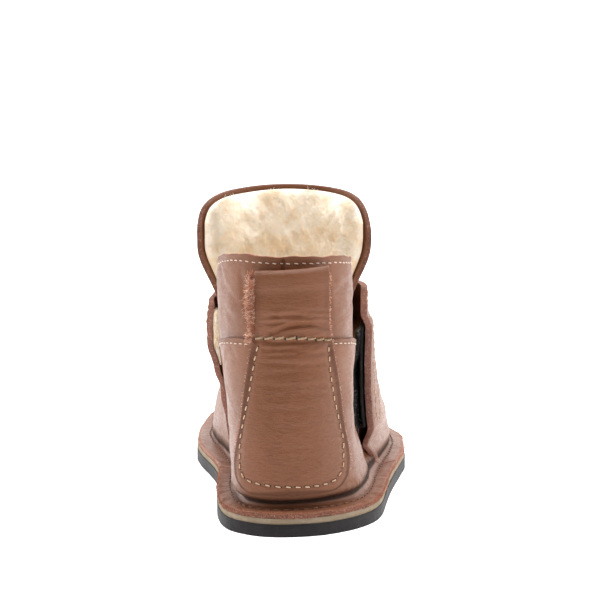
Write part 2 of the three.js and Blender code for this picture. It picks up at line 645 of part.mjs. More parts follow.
function insole() {
  const far = reach(FLANGE_WIDTH + COUNTER_INSIDE + FLEECE + 2 * GAP + INSOLE_MARGIN);
  const turns = directions(48);
  const points = [];
  const faces = [];
  const heights = [FLANGE_BOTTOM, FLANGE_BOTTOM + INSOLE_THICKNESS];
  for (const z of heights) {
    points.push([AXIS.x, AXIS.y, z], [0, HEEL_Y + SOLE_LENGTH * 0.7, z]);
    for (const turn of turns) {
      const r = far(turn);
      const x = AXIS.x + r * Math.sin(radians(turn));
      const y = AXIS.y - r * Math.cos(radians(turn));
      points.push(lifted(x, y, z));
    }
  }
  const n = turns.length;
  const ball = 1;
  const nearBall = (turn) => turn > 148 && turn < 206;
  const base = n + 2;
  for (const [start, flip] of [[0, true], [base, false]]) {
    let previous = null;
    for (let k = 0; k < n; k++) {
      const next = (k + 1) % n;
      const hub = nearBall((turns[k] + turns[next]) / 2) && next ? ball : 0;
      const face = [start + hub, start + 2 + k, start + 2 + next];
      faces.push(flip ? face.reverse() : face);
      if (previous !== null && previous !== hub) {
        const link = [start + previous, start + 2 + k, start + hub];
        faces.push(flip ? link.reverse() : link);
      }
      previous = hub;
    }
  }
  for (let k = 0; k < n; k++) {
    const next = (k + 1) % n;
    faces.push([2 + k, 2 + next, base + 2 + next], [2 + k, base + 2 + next, base + 2 + k]);
  }
  return solid(points, faces);
}

function mesh(name, made, colour, roughness) {
  const data = made.getMesh();
  const geometry = new THREE.BufferGeometry();
  const width = data.numProp;
  const positions = new Float32Array(data.numVert * 3);
  for (let i = 0; i < data.numVert; i++) {
    positions.set(data.vertProperties.subarray(i * width, i * width + 3), i * 3);
  }
  geometry.setAttribute("position", new THREE.BufferAttribute(positions, 3));
  geometry.setIndex(new THREE.BufferAttribute(data.triVerts, 1));
  geometry.computeVertexNormals();
  const material = new THREE.MeshStandardMaterial({ color: colour, roughness });
  material.name = name;
  const body = new THREE.Mesh(geometry, material);
  body.name = name;
  return body;
}

const boot = new THREE.Group();
boot.name = "fleece_lined_boot";
boot.add(
  mesh("outsole", outsole(), 0x4b464a, 0.8),
  mesh("midsole", layer(0.3, MIDSOLE_BOTTOM, MIDSOLE_BOTTOM + MIDSOLE), 0xa89a8c, 0.8),
  mesh("upper", upperShell().add(flap()).add(wing()), 0x8d5f48, 0.6),
  mesh("fleece_lining", fleeceLining(), 0xf0e2cc, 0.95),
  mesh("insole", insole(), 0xe8dcc6, 0.95),
  mesh("tongue", tongue(), 0x8d5f48, 0.6),
  mesh("tongue_fleece", tongueFleece(), 0xf0e2cc, 0.95),
  mesh("heel_patch_loop", heelPatchLoop(), 0x855a44, 0.6),
  mesh("hook_tape", tape(COUNTER_STEP + GAP), 0x1c1a1a, 0.9),
  mesh("loop_tape", tape(COUNTER_STEP + GAP + TAPE + GAP), 0x1c1a1a, 0.9),
);

export default boot;
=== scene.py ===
# %% [markdown]
# # A toddler's leather boot with a fleece lining
# The boot is sewn from a few flat leather pieces: a quarter round the heel, a collar, a vamp with two wings,
# a tongue and a heel patch that ends in a pull loop. Their lower edges turn outwards and are stitched down
# to a thin sole. Sizes are in millimetres and turned to metres only when a mesh is made.

# %% Start
import math

import bmesh
import bpy
import numpy as np
from mathutils import Matrix, Vector


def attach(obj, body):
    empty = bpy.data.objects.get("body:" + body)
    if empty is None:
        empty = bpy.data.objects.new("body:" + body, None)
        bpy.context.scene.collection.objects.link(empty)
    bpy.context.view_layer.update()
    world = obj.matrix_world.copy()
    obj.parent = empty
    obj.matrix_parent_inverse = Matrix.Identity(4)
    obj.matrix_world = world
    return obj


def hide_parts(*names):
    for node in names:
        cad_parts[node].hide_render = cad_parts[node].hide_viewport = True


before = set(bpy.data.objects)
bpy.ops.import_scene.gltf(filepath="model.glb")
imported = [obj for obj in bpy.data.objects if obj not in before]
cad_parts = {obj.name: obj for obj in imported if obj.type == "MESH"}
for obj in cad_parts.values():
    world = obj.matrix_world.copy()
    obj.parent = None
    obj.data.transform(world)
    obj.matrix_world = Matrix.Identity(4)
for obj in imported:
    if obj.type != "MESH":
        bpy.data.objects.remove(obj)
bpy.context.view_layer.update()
MM = 0.001
rng = np.random.default_rng(7)
print("nodes", sorted(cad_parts))

# %% [markdown]
# ## Camera, floor and light
# The photograph was taken from straight behind the heel, a little above it, with a long lens, so the camera
# stands 0.8 m back and looks 9.5 degrees down. The floor and the backdrop are white paper under soft light.

# %% Camera
CAMERA_PLACE, LOOKS_DOWN = (-0.0002, -0.8614, 0.2134), 9.5  # metres, degrees
FOCAL_LENGTH, SENSOR = 138.24, 36  # mm

camera = bpy.data.objects.new("camera", bpy.data.cameras.new("camera"))
bpy.context.scene.collection.objects.link(camera)
camera.location = CAMERA_PLACE
camera.rotation_euler = (math.radians(90 - LOOKS_DOWN), 0, 0)
camera.data.lens, camera.data.sensor_width = FOCAL_LENGTH, SENSOR
bpy.context.scene.camera = camera

# %% [markdown]
# ## One helper for nodes
# Each material is a short chain of nodes. `node` adds one node with its settings, and links what it is given.

# %% Helper: nodes and colours
def ink(code, strength=1.0):
    """An sRGB hex colour as linear RGBA."""
    parts = [int(code[i:i + 2], 16) / 255 for i in (1, 3, 5)]
    linear = [c / 12.92 if c <= 0.04045 else ((c + 0.055) / 1.055) ** 2.4 for c in parts]
    return (*[c * strength for c in linear], 1.0)


def node(tree, kind, settings=None, **sockets):
    """Adds a node. Settings are its own properties; sockets take a value or another node's output."""
    made = tree.nodes.new("ShaderNode" + kind)
    for key, value in (settings or {}).items():
        setattr(made, key, value)
    for key, value in sockets.items():
        numbered = key[0] == "i" and key[1:].isdigit()
        socket = made.inputs[int(key[1:]) if numbered else key.replace("_", " ")]
        if isinstance(value, bpy.types.NodeSocket):
            tree.links.new(value, socket)
        else:
            socket.default_value = value
    return made


def new_material(name):
    material = bpy.data.materials.new(name)
    material.use_nodes = True
    material.node_tree.nodes.clear()
    return material, material.node_tree


def mixed(tree, share, first, second):
    """A colour between two; a share of 0 gives the first."""
    return node(tree, "Mix", {"data_type": "RGBA"}, i0=share, i6=first, i7=second).outputs[2]


def ranged(tree, value, low, high, at_low, at_high):
    """Lays low..high on at_low..at_high, and holds the value beyond them."""
    return node(tree, "MapRange", i0=value, i1=low, i2=high, i3=at_low, i4=at_high).outputs[0]


def noise(tree, where, scale, detail=2.0, rough=0.5, **more):
    made = node(tree, "TexNoise", Vector=where, Scale=scale, Detail=detail, Roughness=rough, **more)
    return made.outputs["Fac"]


def maths(tree, operation, *values):
    inputs = {f"i{k}": value for k, value in enumerate(values)}
    return node(tree, "Math", {"operation": operation}, **inputs).outputs[0]


def principled(tree, colour, roughness, height=None, strength=1.0, distance=0.0003, **more):
    """Ends a material with its shader, and with a bump where a height is given."""
    if height is not None:
        more["Normal"] = node(tree, "Bump", Height=height, Strength=strength, Distance=distance).outputs[0]
    shader = node(tree, "BsdfPrincipled", Base_Color=colour, Roughness=roughness, **more)
    out = tree.nodes.new("ShaderNodeOutputMaterial")
    tree.links.new(shader.outputs[0], out.inputs["Surface"])

# %% [markdown]
# ## White paper and three soft lights
# The floor and the backdrop are two large sheets that glow a little, so that they stay white in the picture.
# Two softboxes stand at the sides and one hangs above the boot.

# %% Floor and light
def white_paper(name, glow):
    material, tree = new_material(name)
    principled(tree, ink("#fbfbfb"), 0.9, Emission_Color=ink("#ffffff"), Emission_Strength=glow)
    return material


def stage_sheet(name, half_side, turned, moved, material):
    bm = bmesh.new()
    bmesh.ops.create_grid(bm, x_segments=1, y_segments=1, size=half_side)
    bmesh.ops.transform(bm, verts=bm.verts, matrix=Matrix.Translation(moved) @ Matrix.Rotation(turned, 4, "X"))
    mesh = bpy.data.meshes.new(name)
    bm.to_mesh(mesh)
    bm.free()
    sheet = bpy.data.objects.new(name, mesh)
    bpy.context.scene.collection.objects.link(sheet)
    mesh.materials.append(material)


stage_sheet("floor", 3.0, 0.0, (0, 0, 0), white_paper("white_paper", 0.62))
stage_sheet("backdrop", 2.5, math.pi / 2, (0, 2.0, 2.4), white_paper("lit_white_backdrop", 1.1))

bpy.context.scene.view_settings.view_transform = "Standard"
world = bpy.data.worlds.new("studio")
bpy.context.scene.world = world
world.use_nodes = True
background = world.node_tree.nodes["Background"].inputs
background["Color"].default_value, background["Strength"].default_value = (1, 1, 1, 1), 0.34


def softbox(name, where, aim, width, height, power):
    light = bpy.data.objects.new(name, bpy.data.lights.new(name, "AREA"))
    bpy.context.scene.collection.objects.link(light)
    light.data.shape, light.data.size, light.data.size_y = "RECTANGLE", width, height
    light.data.energy = power
    light.location = where
    light.rotation_euler = (Vector(aim) - Vector(where)).to_track_quat("-Z", "Y").to_euler()


for row in (  # name, place, aim, width, height in metres, watts
    ("left_box", (-0.85, 0.10, 0.42), (0, 0, 0.06), 0.6, 0.9, 6.0),
    ("right_box", (0.85, 0.02, 0.48), (0, 0, 0.06), 0.6, 0.9, 7.0),
    ("top_box", (0.0, 0.05, 1.1), (0, 0, 0.05), 0.9, 0.9, 13.6),
):
    softbox(*row)

# %% [markdown]
# ## The last
# A shoemaker stretches the leather over a last, a solid foot. Here the last is one function: seen from above,
# each direction round the ankle has a wall, a cubic curve from the feather line, where the sole begins, up to
# a ring above the collar. The rows below are the same shares of the boot's sizes that its solids are made with.

# %% The boot's sizes
SOLE_LENGTH = 172.0
BALL_WIDTH = 82.2
COLLAR_HEIGHT = 96.0
TONGUE_HEIGHT = 114.0
SEAM_HEIGHT, SEAM_FALL = 68.0, 7.5
VAMP_TOP, NOTCH_HEIGHT = 77.8, 60.5
TOE_SPRING = 3.5
GAP = 0.3
OUTSOLE, MIDSOLE, FLANGE = 4.5, 1.4, 1.9
MIDSOLE_BOTTOM = OUTSOLE + GAP
FLANGE_BOTTOM = MIDSOLE_BOTTOM + MIDSOLE + GAP
FLANGE_TOP = FLANGE_BOTTOM + FLANGE
LUG_DEPTH = 1.5
LEATHER = 1.8
COUNTER_STEP = 1.4
COUNTER_INSIDE = 0.8
TAPE = 0.75
FLEECE = 4.4
FLANGE_WIDTH = 7.6
HEEL_Y = -SOLE_LENGTH / 2
AXIS_X = -BALL_WIDTH * 0.064
AXIS_Y = HEEL_Y + SOLE_LENGTH * 0.267
RING_HEIGHT = COLLAR_HEIGHT + 2
WALL_BOTTOM = FLANGE_TOP - 0.3

# along the sole in %, then the medial and the lateral edge in % of the ball's width
SOLE_SECTIONS = np.array([
    (0.0, -8.8, -8.8), (0.7, -17.3, 3.3), (1.7, -21.6, 9.8), (3.5, -26.7, 16.2), (5.8, -30.7, 22.3),
    (9.3, -33.7, 28.7), (13.4, -35.5, 33.3), (18.6, -36.6, 36.2), (26.2, -37.1, 38.2), (34.9, -37.0, 40.6),
    (43.6, -38.5, 43.6), (52.3, -42.4, 47.0), (61.0, -47.2, 49.8), (69.8, -50.0, 50.0), (77.9, -49.9, 45.4),
    (85.5, -47.8, 37.4), (91.3, -45.0, 27.4), (95.9, -38.4, 14.7), (98.5, -30.6, 3.9),
    (100.0, -14.9, -14.9),
])
# turn, low handle out, low handle rise, ring's distance, high handle out, high handle drop
WALL_SECTIONS = np.array([
    (0, 2.8, 27.1, 40.8, 3.6, 33.3), (30, -3.6, 25.0, 37.4, 3.0, 34.4), (60, -7.9, 25.0, 31.8, 2.4, 35.4),
    (90, -8.5, 27.1, 27.4, 3.1, 35.4), (113, -13.5, 14.6, 35.6, -5.0, 41.7),
    (125, -10.9, 16.7, 39.3, -3.0, 43.8), (136, -3.6, 18.8, 42.3, 1.2, 47.9),
    (145, 1.2, 18.8, 44.1, 3.6, 56.2), (155, 2.4, 22.9, 45.3, 4.8, 60.4), (167, 3.6, 27.1, 45.9, 4.8, 62.5),
    (180, 6.6, 31.2, 46.5, 6.0, 64.6), (193, -2.4, 31.2, 46.3, 8.9, 62.5),
    (205, 2.0, 27.1, 45.3, 11.0, 58.3), (215, 4.8, 25.0, 44.1, 6.6, 52.1),
    (231, 4.8, 27.1, 41.7, 2.4, 45.8), (250, 4.8, 29.2, 33.2, 1.2, 39.6), (270, 4.2, 29.2, 29.7, 1.8, 37.5),
    (300, 2.4, 27.1, 31.8, 2.4, 35.4), (330, 2.4, 27.1, 37.4, 3.0, 34.4),
])
print("last:", len(WALL_SECTIONS), "directions,", len(SOLE_SECTIONS), "sole sections")

# %% [markdown]
# ## Smooth curves through a few rows
# `curve` joins the rows of a table smoothly and never swings past them, so a table may be short. `ease` goes
# from 0 to 1 without a kink.

# %% Helper: smooth curves
def mix(a, b, share):
    return a + (b - a) * share


def ease(low, high, value):
    share = np.clip((value - low) / (high - low), 0, 1)
    return share * share * (3 - 2 * share)


def unit(vectors):
    return vectors / np.linalg.norm(vectors, axis=-1)[..., None]


def curve(places, values, period=0.0):
    """A smooth curve through rows that never swings past them."""
    places, values = np.asarray(places, float), np.asarray(values, float)
    if period:
        places, values = np.append(places, places[0] + period), np.append(values, values[0])
    spans = np.diff(places)
    slopes = np.diff(values) / spans
    before = np.append(slopes[-1] if period else slopes[0], slopes)
    after = np.append(slopes, slopes[0] if period else slopes[-1])
    same = before * after > 0
    tangents = np.where(same, 2 * before * after / np.where(same, before + after, 1), 0)

    def at(where):
        place = np.asarray(where, float)
        place = (place - places[0]) % period + places[0] if period else place
        i = np.clip(np.searchsorted(places, place, side="right") - 1, 0, len(spans) - 1)
        s = np.clip((place - places[i]) / spans[i], 0, 1)
        swing = s * (1 - s) ** 2 * tangents[i] - s * s * (1 - s) * tangents[i + 1]
        return mix(values[i], values[i + 1], s * s * (3 - 2 * s)) + spans[i] * swing

    return at

# %% [markdown]
# ## The sole's outline
# Two curves give the inner and the outer edge along the boot. `reach` turns an inset of that outline into a
# distance from the ankle's axis for every direction, with 0 degrees behind the heel.

# %% Sole outline
ends = np.arccos(1 - SOLE_SECTIONS[:, 0] / 50) / math.pi
medial = curve(ends, SOLE_SECTIONS[:, 1] * BALL_WIDTH / 100)
lateral = curve(ends, SOLE_SECTIONS[:, 2] * BALL_WIDTH / 100)


def along_y(q):
    return HEEL_Y + SOLE_LENGTH * (1 - np.cos(math.pi * np.asarray(q))) / 2


def outline(inset, steps):
    q = np.arange(steps) / steps
    back = 1 - q
    loop = np.vstack([np.column_stack([lateral(q), along_y(q)]),
                      np.column_stack([medial(back), along_y(back)])])
    way = unit(np.roll(loop, -1, 0) - np.roll(loop, 1, 0))
    return loop + inset * np.column_stack([-way[:, 1], way[:, 0]])


def turn_of(x, y):
    return np.degrees(np.arctan2(x - AXIS_X, AXIS_Y - y)) % 360


def reach(inset):
    """How far an inset outline lies from the ankle's axis, by direction."""
    loop = outline(inset, 180)
    turns = turn_of(loop[:, 0], loop[:, 1])
    order = np.argsort(turns)
    turns, loop = turns[order], loop[order]
    keep = np.append(True, np.diff(turns) > 0.01)
    far = np.hypot(loop[:, 0] - AXIS_X, loop[:, 1] - AXIS_Y)
    return curve(turns[keep], far[keep], 360)


edge_reach, feather_reach = reach(0.4), reach(FLANGE_WIDTH)
low_out, low_rise, top_reach, high_out, high_drop = [
    curve(WALL_SECTIONS[:, 0], WALL_SECTIONS[:, k + 1] * size / 100, 360)
    for k, size in enumerate([BALL_WIDTH, COLLAR_HEIGHT, BALL_WIDTH, BALL_WIDTH, COLLAR_HEIGHT])
]

# %% [markdown]
# ## Points of the last
# `skin_at` is used by nearly every piece: a direction, a height and a distance outside the last give a point.
# The toe is lifted a little off the ground by `lifted`.

# %% Points of the last
def spring(y):
    return TOE_SPRING * np.clip((y / SOLE_LENGTH + 0.5 - 0.72) / 0.28, 0, 1) ** 2


def lifted(x, y, z):
    return np.stack([x, y, z + spring(y) * (1 - ease(20, 60, z))], axis=-1)


def bezier(a, b, c, d, t):
    return (1 - t) ** 3 * a + 3 * t * (1 - t) ** 2 * b + 3 * t * t * (1 - t) * c + t ** 3 * d


def wall_height(turn, t):
    return bezier(WALL_BOTTOM, WALL_BOTTOM + low_rise(turn), RING_HEIGHT - high_drop(turn), RING_HEIGHT, t)


def polar(turn, r, z):
    a = np.radians(turn)
    return np.stack([AXIS_X + r * np.sin(a), AXIS_Y - r * np.cos(a), z], axis=-1)


def wall_point(turn, t):
    low, top = feather_reach(turn), top_reach(turn)
    r = bezier(low, low + low_out(turn), top + high_out(turn), top, t)
    return polar(turn, r, wall_height(turn, t))


def t_at(turn, z):
    turn, z = np.broadcast_arrays(np.asarray(turn, float), np.asarray(z, float))
    low, high = np.zeros(turn.shape), np.ones(turn.shape)
    for _ in range(18):
        middle = (low + high) / 2
        under = wall_height(turn, middle) < z
        low, high = np.where(under, middle, low), np.where(under, high, middle)
    return (low + high) / 2


def skin(turn, t, out):
    """The point at a distance outside the wall, along its normal."""
    turn, t, out = np.broadcast_arrays(*[np.asarray(a, float) for a in (turn, t, out)])
    p = wall_point(turn, t)
    across = wall_point(turn + 0.7, t) - wall_point(turn - 0.7, t)
    up = wall_point(turn, np.clip(t + 0.01, 0, 1)) - wall_point(turn, np.clip(t - 0.01, 0, 1))
    p = p + unit(np.cross(across, up)) * out[..., None]
    return lifted(p[..., 0], p[..., 1], p[..., 2])


def skin_at(turn, z, out):
    return skin(turn, t_at(turn, z), out)


def turn_where(axis, wanted, z, start, end, out=None):
    """The direction whose point at height z has the wanted x or y."""
    wanted, z = np.broadcast_arrays(np.asarray(wanted, float), np.asarray(z, float))
    low, high = np.full(z.shape, float(start)), np.full(z.shape, float(end))

    def value(turn):
        return (wall_point(turn, t_at(turn, z)) if out is None else skin_at(turn, z, out))[..., axis]

    rising = value(high) > value(low)
    for _ in range(16):
        middle = (low + high) / 2
        under = (value(middle) < wanted) == rising
        low, high = np.where(under, middle, low), np.where(under, high, middle)
    return (low + high) / 2


print("feather line at the heel", round(float(feather_reach(0)), 1), "mm from the ankle's axis")

# %% [markdown]
# ## From a grid to a piece of leather
# Every leather piece starts as a flat grid, as it is cut from a hide. Extruding the grid's faces gives it a
# second side, and a function of the last says where both sides lie. Its cut edge is bevelled a little, and
# each point remembers how far it is from that edge, because leather is rougher there and the materials paint shade
# along it.

# %% Helper: leather sheets
def paint(obj, *materials):
    for material in materials:
        obj.data.materials.append(material)


def keep_mesh(name, mesh):
    mesh.shade_smooth()
    obj = bpy.data.objects.new(name, mesh)
    bpy.context.scene.collection.objects.link(obj)
    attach(obj, "root")
    return obj


def keep_object(name, bm):
    mesh = bpy.data.meshes.new(name)
    bm.to_mesh(mesh)
    bm.free()
    return keep_mesh(name, mesh)


def keep_curve(name, data):
    """Turns a curve with thickness into a mesh piece."""
    drawn = bpy.data.objects.new(name + "_curve", data)
    bpy.context.scene.collection.objects.link(drawn)
    mesh = bpy.data.meshes.new_from_object(drawn.evaluated_get(bpy.context.evaluated_depsgraph_get()))
    bpy.data.objects.remove(drawn)
    bpy.data.curves.remove(data)
    return keep_mesh(name, mesh)


def add_spline(data, points, radii):
    """points: N x 3 in millimetres; radii are shares of the curve's thickness."""
    spline = data.splines.new("POLY")
    spline.points.add(len(points) - 1)
    spline.points.foreach_set("co", np.column_stack([points * MM, np.ones(len(points))]).ravel())
    spline.points.foreach_set("radius", radii)


def rim_distance(points, wrap):
    """Millimetres from each point of a grid to the grid's border, along its lines."""
    def both_ways(rows):
        steps = np.linalg.norm(np.diff(rows, axis=0), axis=-1)
        run = np.vstack([np.zeros((1, rows.shape[1])), np.cumsum(steps, axis=0)])
        return np.minimum(run, run[-1] - run)

    up = both_ways(points.swapaxes(0, 1)).T
    return up if wrap else np.minimum(both_ways(points), up)


def hide(name, across, up, place, bevel=0.35, wrap=False):
    """A closed sheet. place(u, v, face) gives millimetres for face 0, its back, and face 1, its front."""
    bm = bmesh.new()
    bmesh.ops.create_grid(bm, x_segments=across, y_segments=up, size=0.5)
    edge = bm.verts.layers.float.new("edge")
    u = np.array([v.co.x for v in bm.verts]) + 0.5
    v = np.array([v.co.y for v in bm.verts]) + 0.5
    grid_u, grid_v = np.meshgrid(np.linspace(0, 1, across + 1), np.linspace(0, 1, up + 1), indexing="ij")
    far = rim_distance(place(grid_u, grid_v, 1), wrap)
    far = far[np.rint(u * across).astype(int), np.rint(v * up).astype(int)]
    back = bm.verts[:]
    for vert, distance in zip(back, far):
        vert[edge] = distance
    made = bmesh.ops.extrude_face_region(bm, geom=bm.faces[:])["geom"]
    front = [g for g in made if isinstance(g, bmesh.types.BMVert)]
    front_set = set(front)
    fu = np.array([w.co.x for w in front]) + 0.5
    fv = np.array([w.co.y for w in front]) + 0.5
    for verts, points in ((back, place(u, v, 0)), (front, place(fu, fv, 1))):
        for vert, p in zip(verts, points * MM):
            vert.co = p
    rim = [f for f in bm.faces if len({w in front_set for w in f.verts}) == 2]
    for f in rim:
        f.material_index = 1
    if wrap:
        bmesh.ops.remove_doubles(bm, verts=bm.verts[:], dist=1e-6)
        at_joint = [f for f in bm.faces
                    if f.material_index == 1 and sum(len(e.link_faces) > 2 for e in f.edges) > 1]
        bmesh.ops.delete(bm, geom=at_joint, context="FACES")
    rim = [f for f in bm.faces if f.material_index == 1]
    lines = {e for f in rim for e in f.edges if any(g.material_index == 0 for g in e.link_faces)}
    bmesh.ops.recalc_face_normals(bm, faces=bm.faces[:])
    if bevel:
        bmesh.ops.bevel(bm, geom=list(lines), offset=bevel * MM, segments=2, profile=0.5, affect="EDGES",
                        material=-1, clamp_overlap=True)
    open_edges = sum(not e.is_manifold for e in bm.edges)
    obj = keep_object(name, bm)
    print(name, len(obj.data.polygons), "faces,", open_edges, "open edges")
    return obj

# %% [markdown]
# ## Creases
# Leather shows where the foot bends it. Each row is one crease, listed with two ends on the last, as
# a direction and a height, with its width and depth. A crease is a soft trough with a low ridge beside it.

# %% Helper: creases and uneven leather
def place_2d(turn, z):
    return np.stack([(np.asarray(turn) + 180) % 360 - 180, np.asarray(z)], axis=-1) * [0.62, 1.0]


def creased(turn, z, rows):
    """The height that creases add to a surface, in millimetres."""
    total = np.zeros(np.shape(turn))
    here = place_2d(turn, z)
    for (turn_a, z_a, turn_b, z_b, sag, wide, deep) in rows:
        a, b = place_2d(turn_a, z_a), place_2d(turn_b, z_b)
        way = b - a
        length = np.linalg.norm(way)
        way = way / length
        along = (here - a) @ way
        share = np.clip(along / length, 0, 1)
        off = (here - a) @ np.array([-way[1], way[0]]) - sag * 4 * share * (1 - share)
        beyond = np.where(along < 0, -along, np.where(along > length, along - length, 0))
        fade = np.exp(-(beyond / (1.4 * wide)) ** 2) * (0.35 + 0.65 * np.sin(np.pi * np.clip(share, 0.08, 0.92)))
        trough = -np.exp(-(off / wide) ** 2)
        ridge = 0.45 * np.exp(-((off - 1.7 * wide) / wide) ** 2)
        total = total + deep * fade * (trough + ridge)
    return total


def uneven(turn, z, size, seed=0.0):
    """Slow waves of a hide that was pulled over the last by hand."""
    a, b = np.radians(np.asarray(turn)) * 40 / size, np.asarray(z) / size
    waves = np.sin(1.7 * a + 0.9 * b + seed) + np.sin(-1.1 * a + 2.3 * b + 2.1 * seed)
    return (waves + 0.7 * np.sin(2.9 * a - 1.9 * b + 0.7 * seed) + 0.5 * np.sin(4.3 * a + 3.7 * b - seed)) / 3.2

# %% [markdown]
# ## Sole: rubber with a beige layer on it
# A thin rubber sheet is cut round the boot's edge, with a beige crepe layer between it and the leather. Both
# are grids with rows closer together at heel and toe. Shallow slots are pressed up into the tread.

# %% Rubber sole and midsole
SLOTS = [0.06, 0.11, 0.16, 0.21, 0.6, 0.65, 0.7, 0.75, 0.8, 0.85, 0.9]
SLOT_WIDTH, SLOT_MARGIN, SLOT_BOW = 2.6, 6.0, 2.4


def layer_place(inset, bottom, top, rows=None, bow=0.0, margin=None):
    def place(u, v, face):
        q = mix(0.004, 0.996, u) if rows is None else np.interp(u, np.linspace(0, 1, len(rows)), rows)
        left, right = medial(q), lateral(q)
        slim = np.minimum(inset, (right - left) / 2.2)
        left, right = left + slim, right - slim
        x = mix(left, right, v)
        if margin:
            inner = np.clip((v - 0.1) / 0.8, 0, 1)
            wide = np.minimum(margin, (right - left) / 3)
            x = np.where(v > 0.9, right - wide * (1 - v) / 0.1, mix(left + wide, right - wide, inner))
            x = np.where(v < 0.1, left + wide * v / 0.1, x)
        y = along_y(q) * (1 - 2 * inset / SOLE_LENGTH)
        share = y / SOLE_LENGTH + 0.5
        bowed = np.sin(np.pi * np.clip((v - 0.1) / 0.8, 0, 1))
        y = y + bow * bowed * ease(0.0, 0.05, share) * (1 - ease(0.92, 1, share))
        return lifted(x, y, np.full(np.shape(y), top if face else bottom))
    return place


half = SLOT_WIDTH / SOLE_LENGTH / 2
shares = sorted({*np.linspace(0, 1, 60), *[s - half for s in SLOTS], *[s + half for s in SLOTS]})
shares = [s for s in shares
          if all(abs(s - c) > half * 1.02 or abs(abs(s - c) - half) < 1e-9 for c in SLOTS)]
q_rows = np.arccos(1 - 2 * np.clip(shares, 0.00005, 0.99995)) / math.pi
tip = np.linspace(0.004, 0.06, 10)
q_rows = np.concatenate([tip, 1 - tip, q_rows[(q_rows > 0.062) & (q_rows < 0.938)]])
q_rows = np.unique(np.round(q_rows, 6))
tread = layer_place(0, 0, OUTSOLE, q_rows, SLOT_BOW, SLOT_MARGIN)
sole = hide("rubber_sole", len(q_rows) - 1, 20, tread, 0.5)

bm = bmesh.new()
bm.from_mesh(sole.data)
slot_faces = []
for f in bm.faces:
    c = f.calc_center_median()
    if f.normal.z > -0.8:
        continue
    share = c.y / MM / SOLE_LENGTH + 0.5
    q = math.acos(1 - 2 * min(max(share, 0), 1)) / math.pi
    wide = float(lateral(q) - medial(q))
    inner = (c.x / MM - float(medial(q)) - SLOT_MARGIN) / (wide - 2 * SLOT_MARGIN)
    if 0 < inner < 1:
        true_share = share - SLOT_BOW * math.sin(math.pi * inner) / SOLE_LENGTH
        if min(abs(true_share - s) for s in SLOTS) < half * 0.6:
            slot_faces.append(f)
pressed = bmesh.ops.extrude_face_region(bm, geom=slot_faces)["geom"]
pressed = [g for g in pressed if isinstance(g, bmesh.types.BMVert)]
bmesh.ops.translate(bm, verts=pressed, vec=(0, 0, LUG_DEPTH * MM))
bmesh.ops.delete(bm, geom=[f for f in slot_faces if f.is_valid], context="FACES_ONLY")
bmesh.ops.recalc_face_normals(bm, faces=bm.faces[:])
bm.to_mesh(sole.data)
bm.free()
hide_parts("outsole")

layer = layer_place(0.3, MIDSOLE_BOTTOM - GAP, MIDSOLE_BOTTOM + MIDSOLE + GAP)
midsole = hide("crepe_midsole", 150, 12, layer, 0.25)
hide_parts("midsole")
print("sole has", len(SLOTS), "slots")

# %% [markdown]
# ## Quarter: the piece round the heel, with its edge turned out
# From the sole's edge the leather runs inwards over the midsole, turns up in a tight bend and climbs the
# last. `shoe_path` gives that whole way for one direction: v below ROOT is the flange, the rest is the wall.

# %% Helper: the way over flange and wall
# keys along v; then, for the face and the back, the share of the flange's width and the rise in mm
ROOT = 0.24
FLANGE_KEYS = np.array([0, 0.02, 0.05, 0.09, 0.13, 0.16, 0.19, 0.215, ROOT])
FLANGE_SHARE = curve(FLANGE_KEYS, [1.0, 0.96, 0.84, 0.62, 0.40, 0.24, 0.12, 0.03, -0.01])
FLANGE_RISE = curve(FLANGE_KEYS, [-0.35, -0.05, 0.0, 0.0, 0.03, 0.12, 0.42, 1.2, 2.3])
bend_back = curve(FLANGE_KEYS, [1.0, 0.96, 0.84, 0.62, 0.40, 0.20, 0.0, -0.2, -0.34])
rise_back = curve(FLANGE_KEYS, [0, 0, 0, 0, 0, 0, 0.1, 0.7, 2.3])


def edge_wave(turn):
    a = np.radians(turn)
    return 0.16 * np.sin(9 * a + 1) + 0.13 * np.sin(17 * a) + 0.09 * np.sin(31 * a + 2)


def dense(v):
    """Rows of the grid lie closer together round the bend."""
    return np.interp(v, [0, 0.34, 0.52, 1], [0, ROOT, ROOT + 0.09, 1])


def tuck(turn):
    """How deep the leather is drawn in over the welt seam: most behind the heel."""
    away = np.abs((np.asarray(turn) + 180) % 360 - 180)
    return mix(2.3, 0.7, ease(30, 90, away)) * (1 + 0.2 * np.sin(np.radians(turn) * 7))


def shoe_path(turn, v, face, top, outside, inside, lift=0.0):
    """top: height of the upper edge; outside and inside: distances of both faces from the last."""
    low = np.clip(v, 0, ROOT)
    share = FLANGE_SHARE(low) if face else bend_back(low)
    rise = (FLANGE_RISE(low) + FLANGE) if face else rise_back(low)
    wave = edge_wave(turn)
    r = mix(feather_reach(turn) + COUNTER_STEP, edge_reach(turn) + wave, share)
    r = r - tuck(turn) * ease(0.10, 0.20, low)
    ripple = 0.22 * np.sin(np.radians(turn) * 23 + 0.5) + 0.15 * np.sin(np.radians(turn) * 41)
    ripple = ripple * np.clip(share, 0, 1) * (0.8 if face else 0.5) * ease(0.1, 0.9, share)
    z = FLANGE_BOTTOM + rise + lift + ripple
    flat = polar(turn, r, z)
    flat = lifted(flat[..., 0], flat[..., 1], flat[..., 2])
    t_root = t_at(turn, FLANGE_TOP + 2.3 + 0 * turn)
    t = mix(t_root, t_at(turn, top), np.clip((v - ROOT) / (1 - ROOT), 0, 1))
    wall = skin(turn, t, outside if face else inside)
    weight = ease(ROOT - 0.07, ROOT, v)[..., None]
    return flat * (1 - weight) + wall * weight


def wall_z(turn, v, top):
    t_root = t_at(turn, FLANGE_TOP + 2.3 + 0 * turn)
    return wall_height(turn, mix(t_root, t_at(turn, top), np.clip((v - ROOT) / (1 - ROOT), 0, 1)))

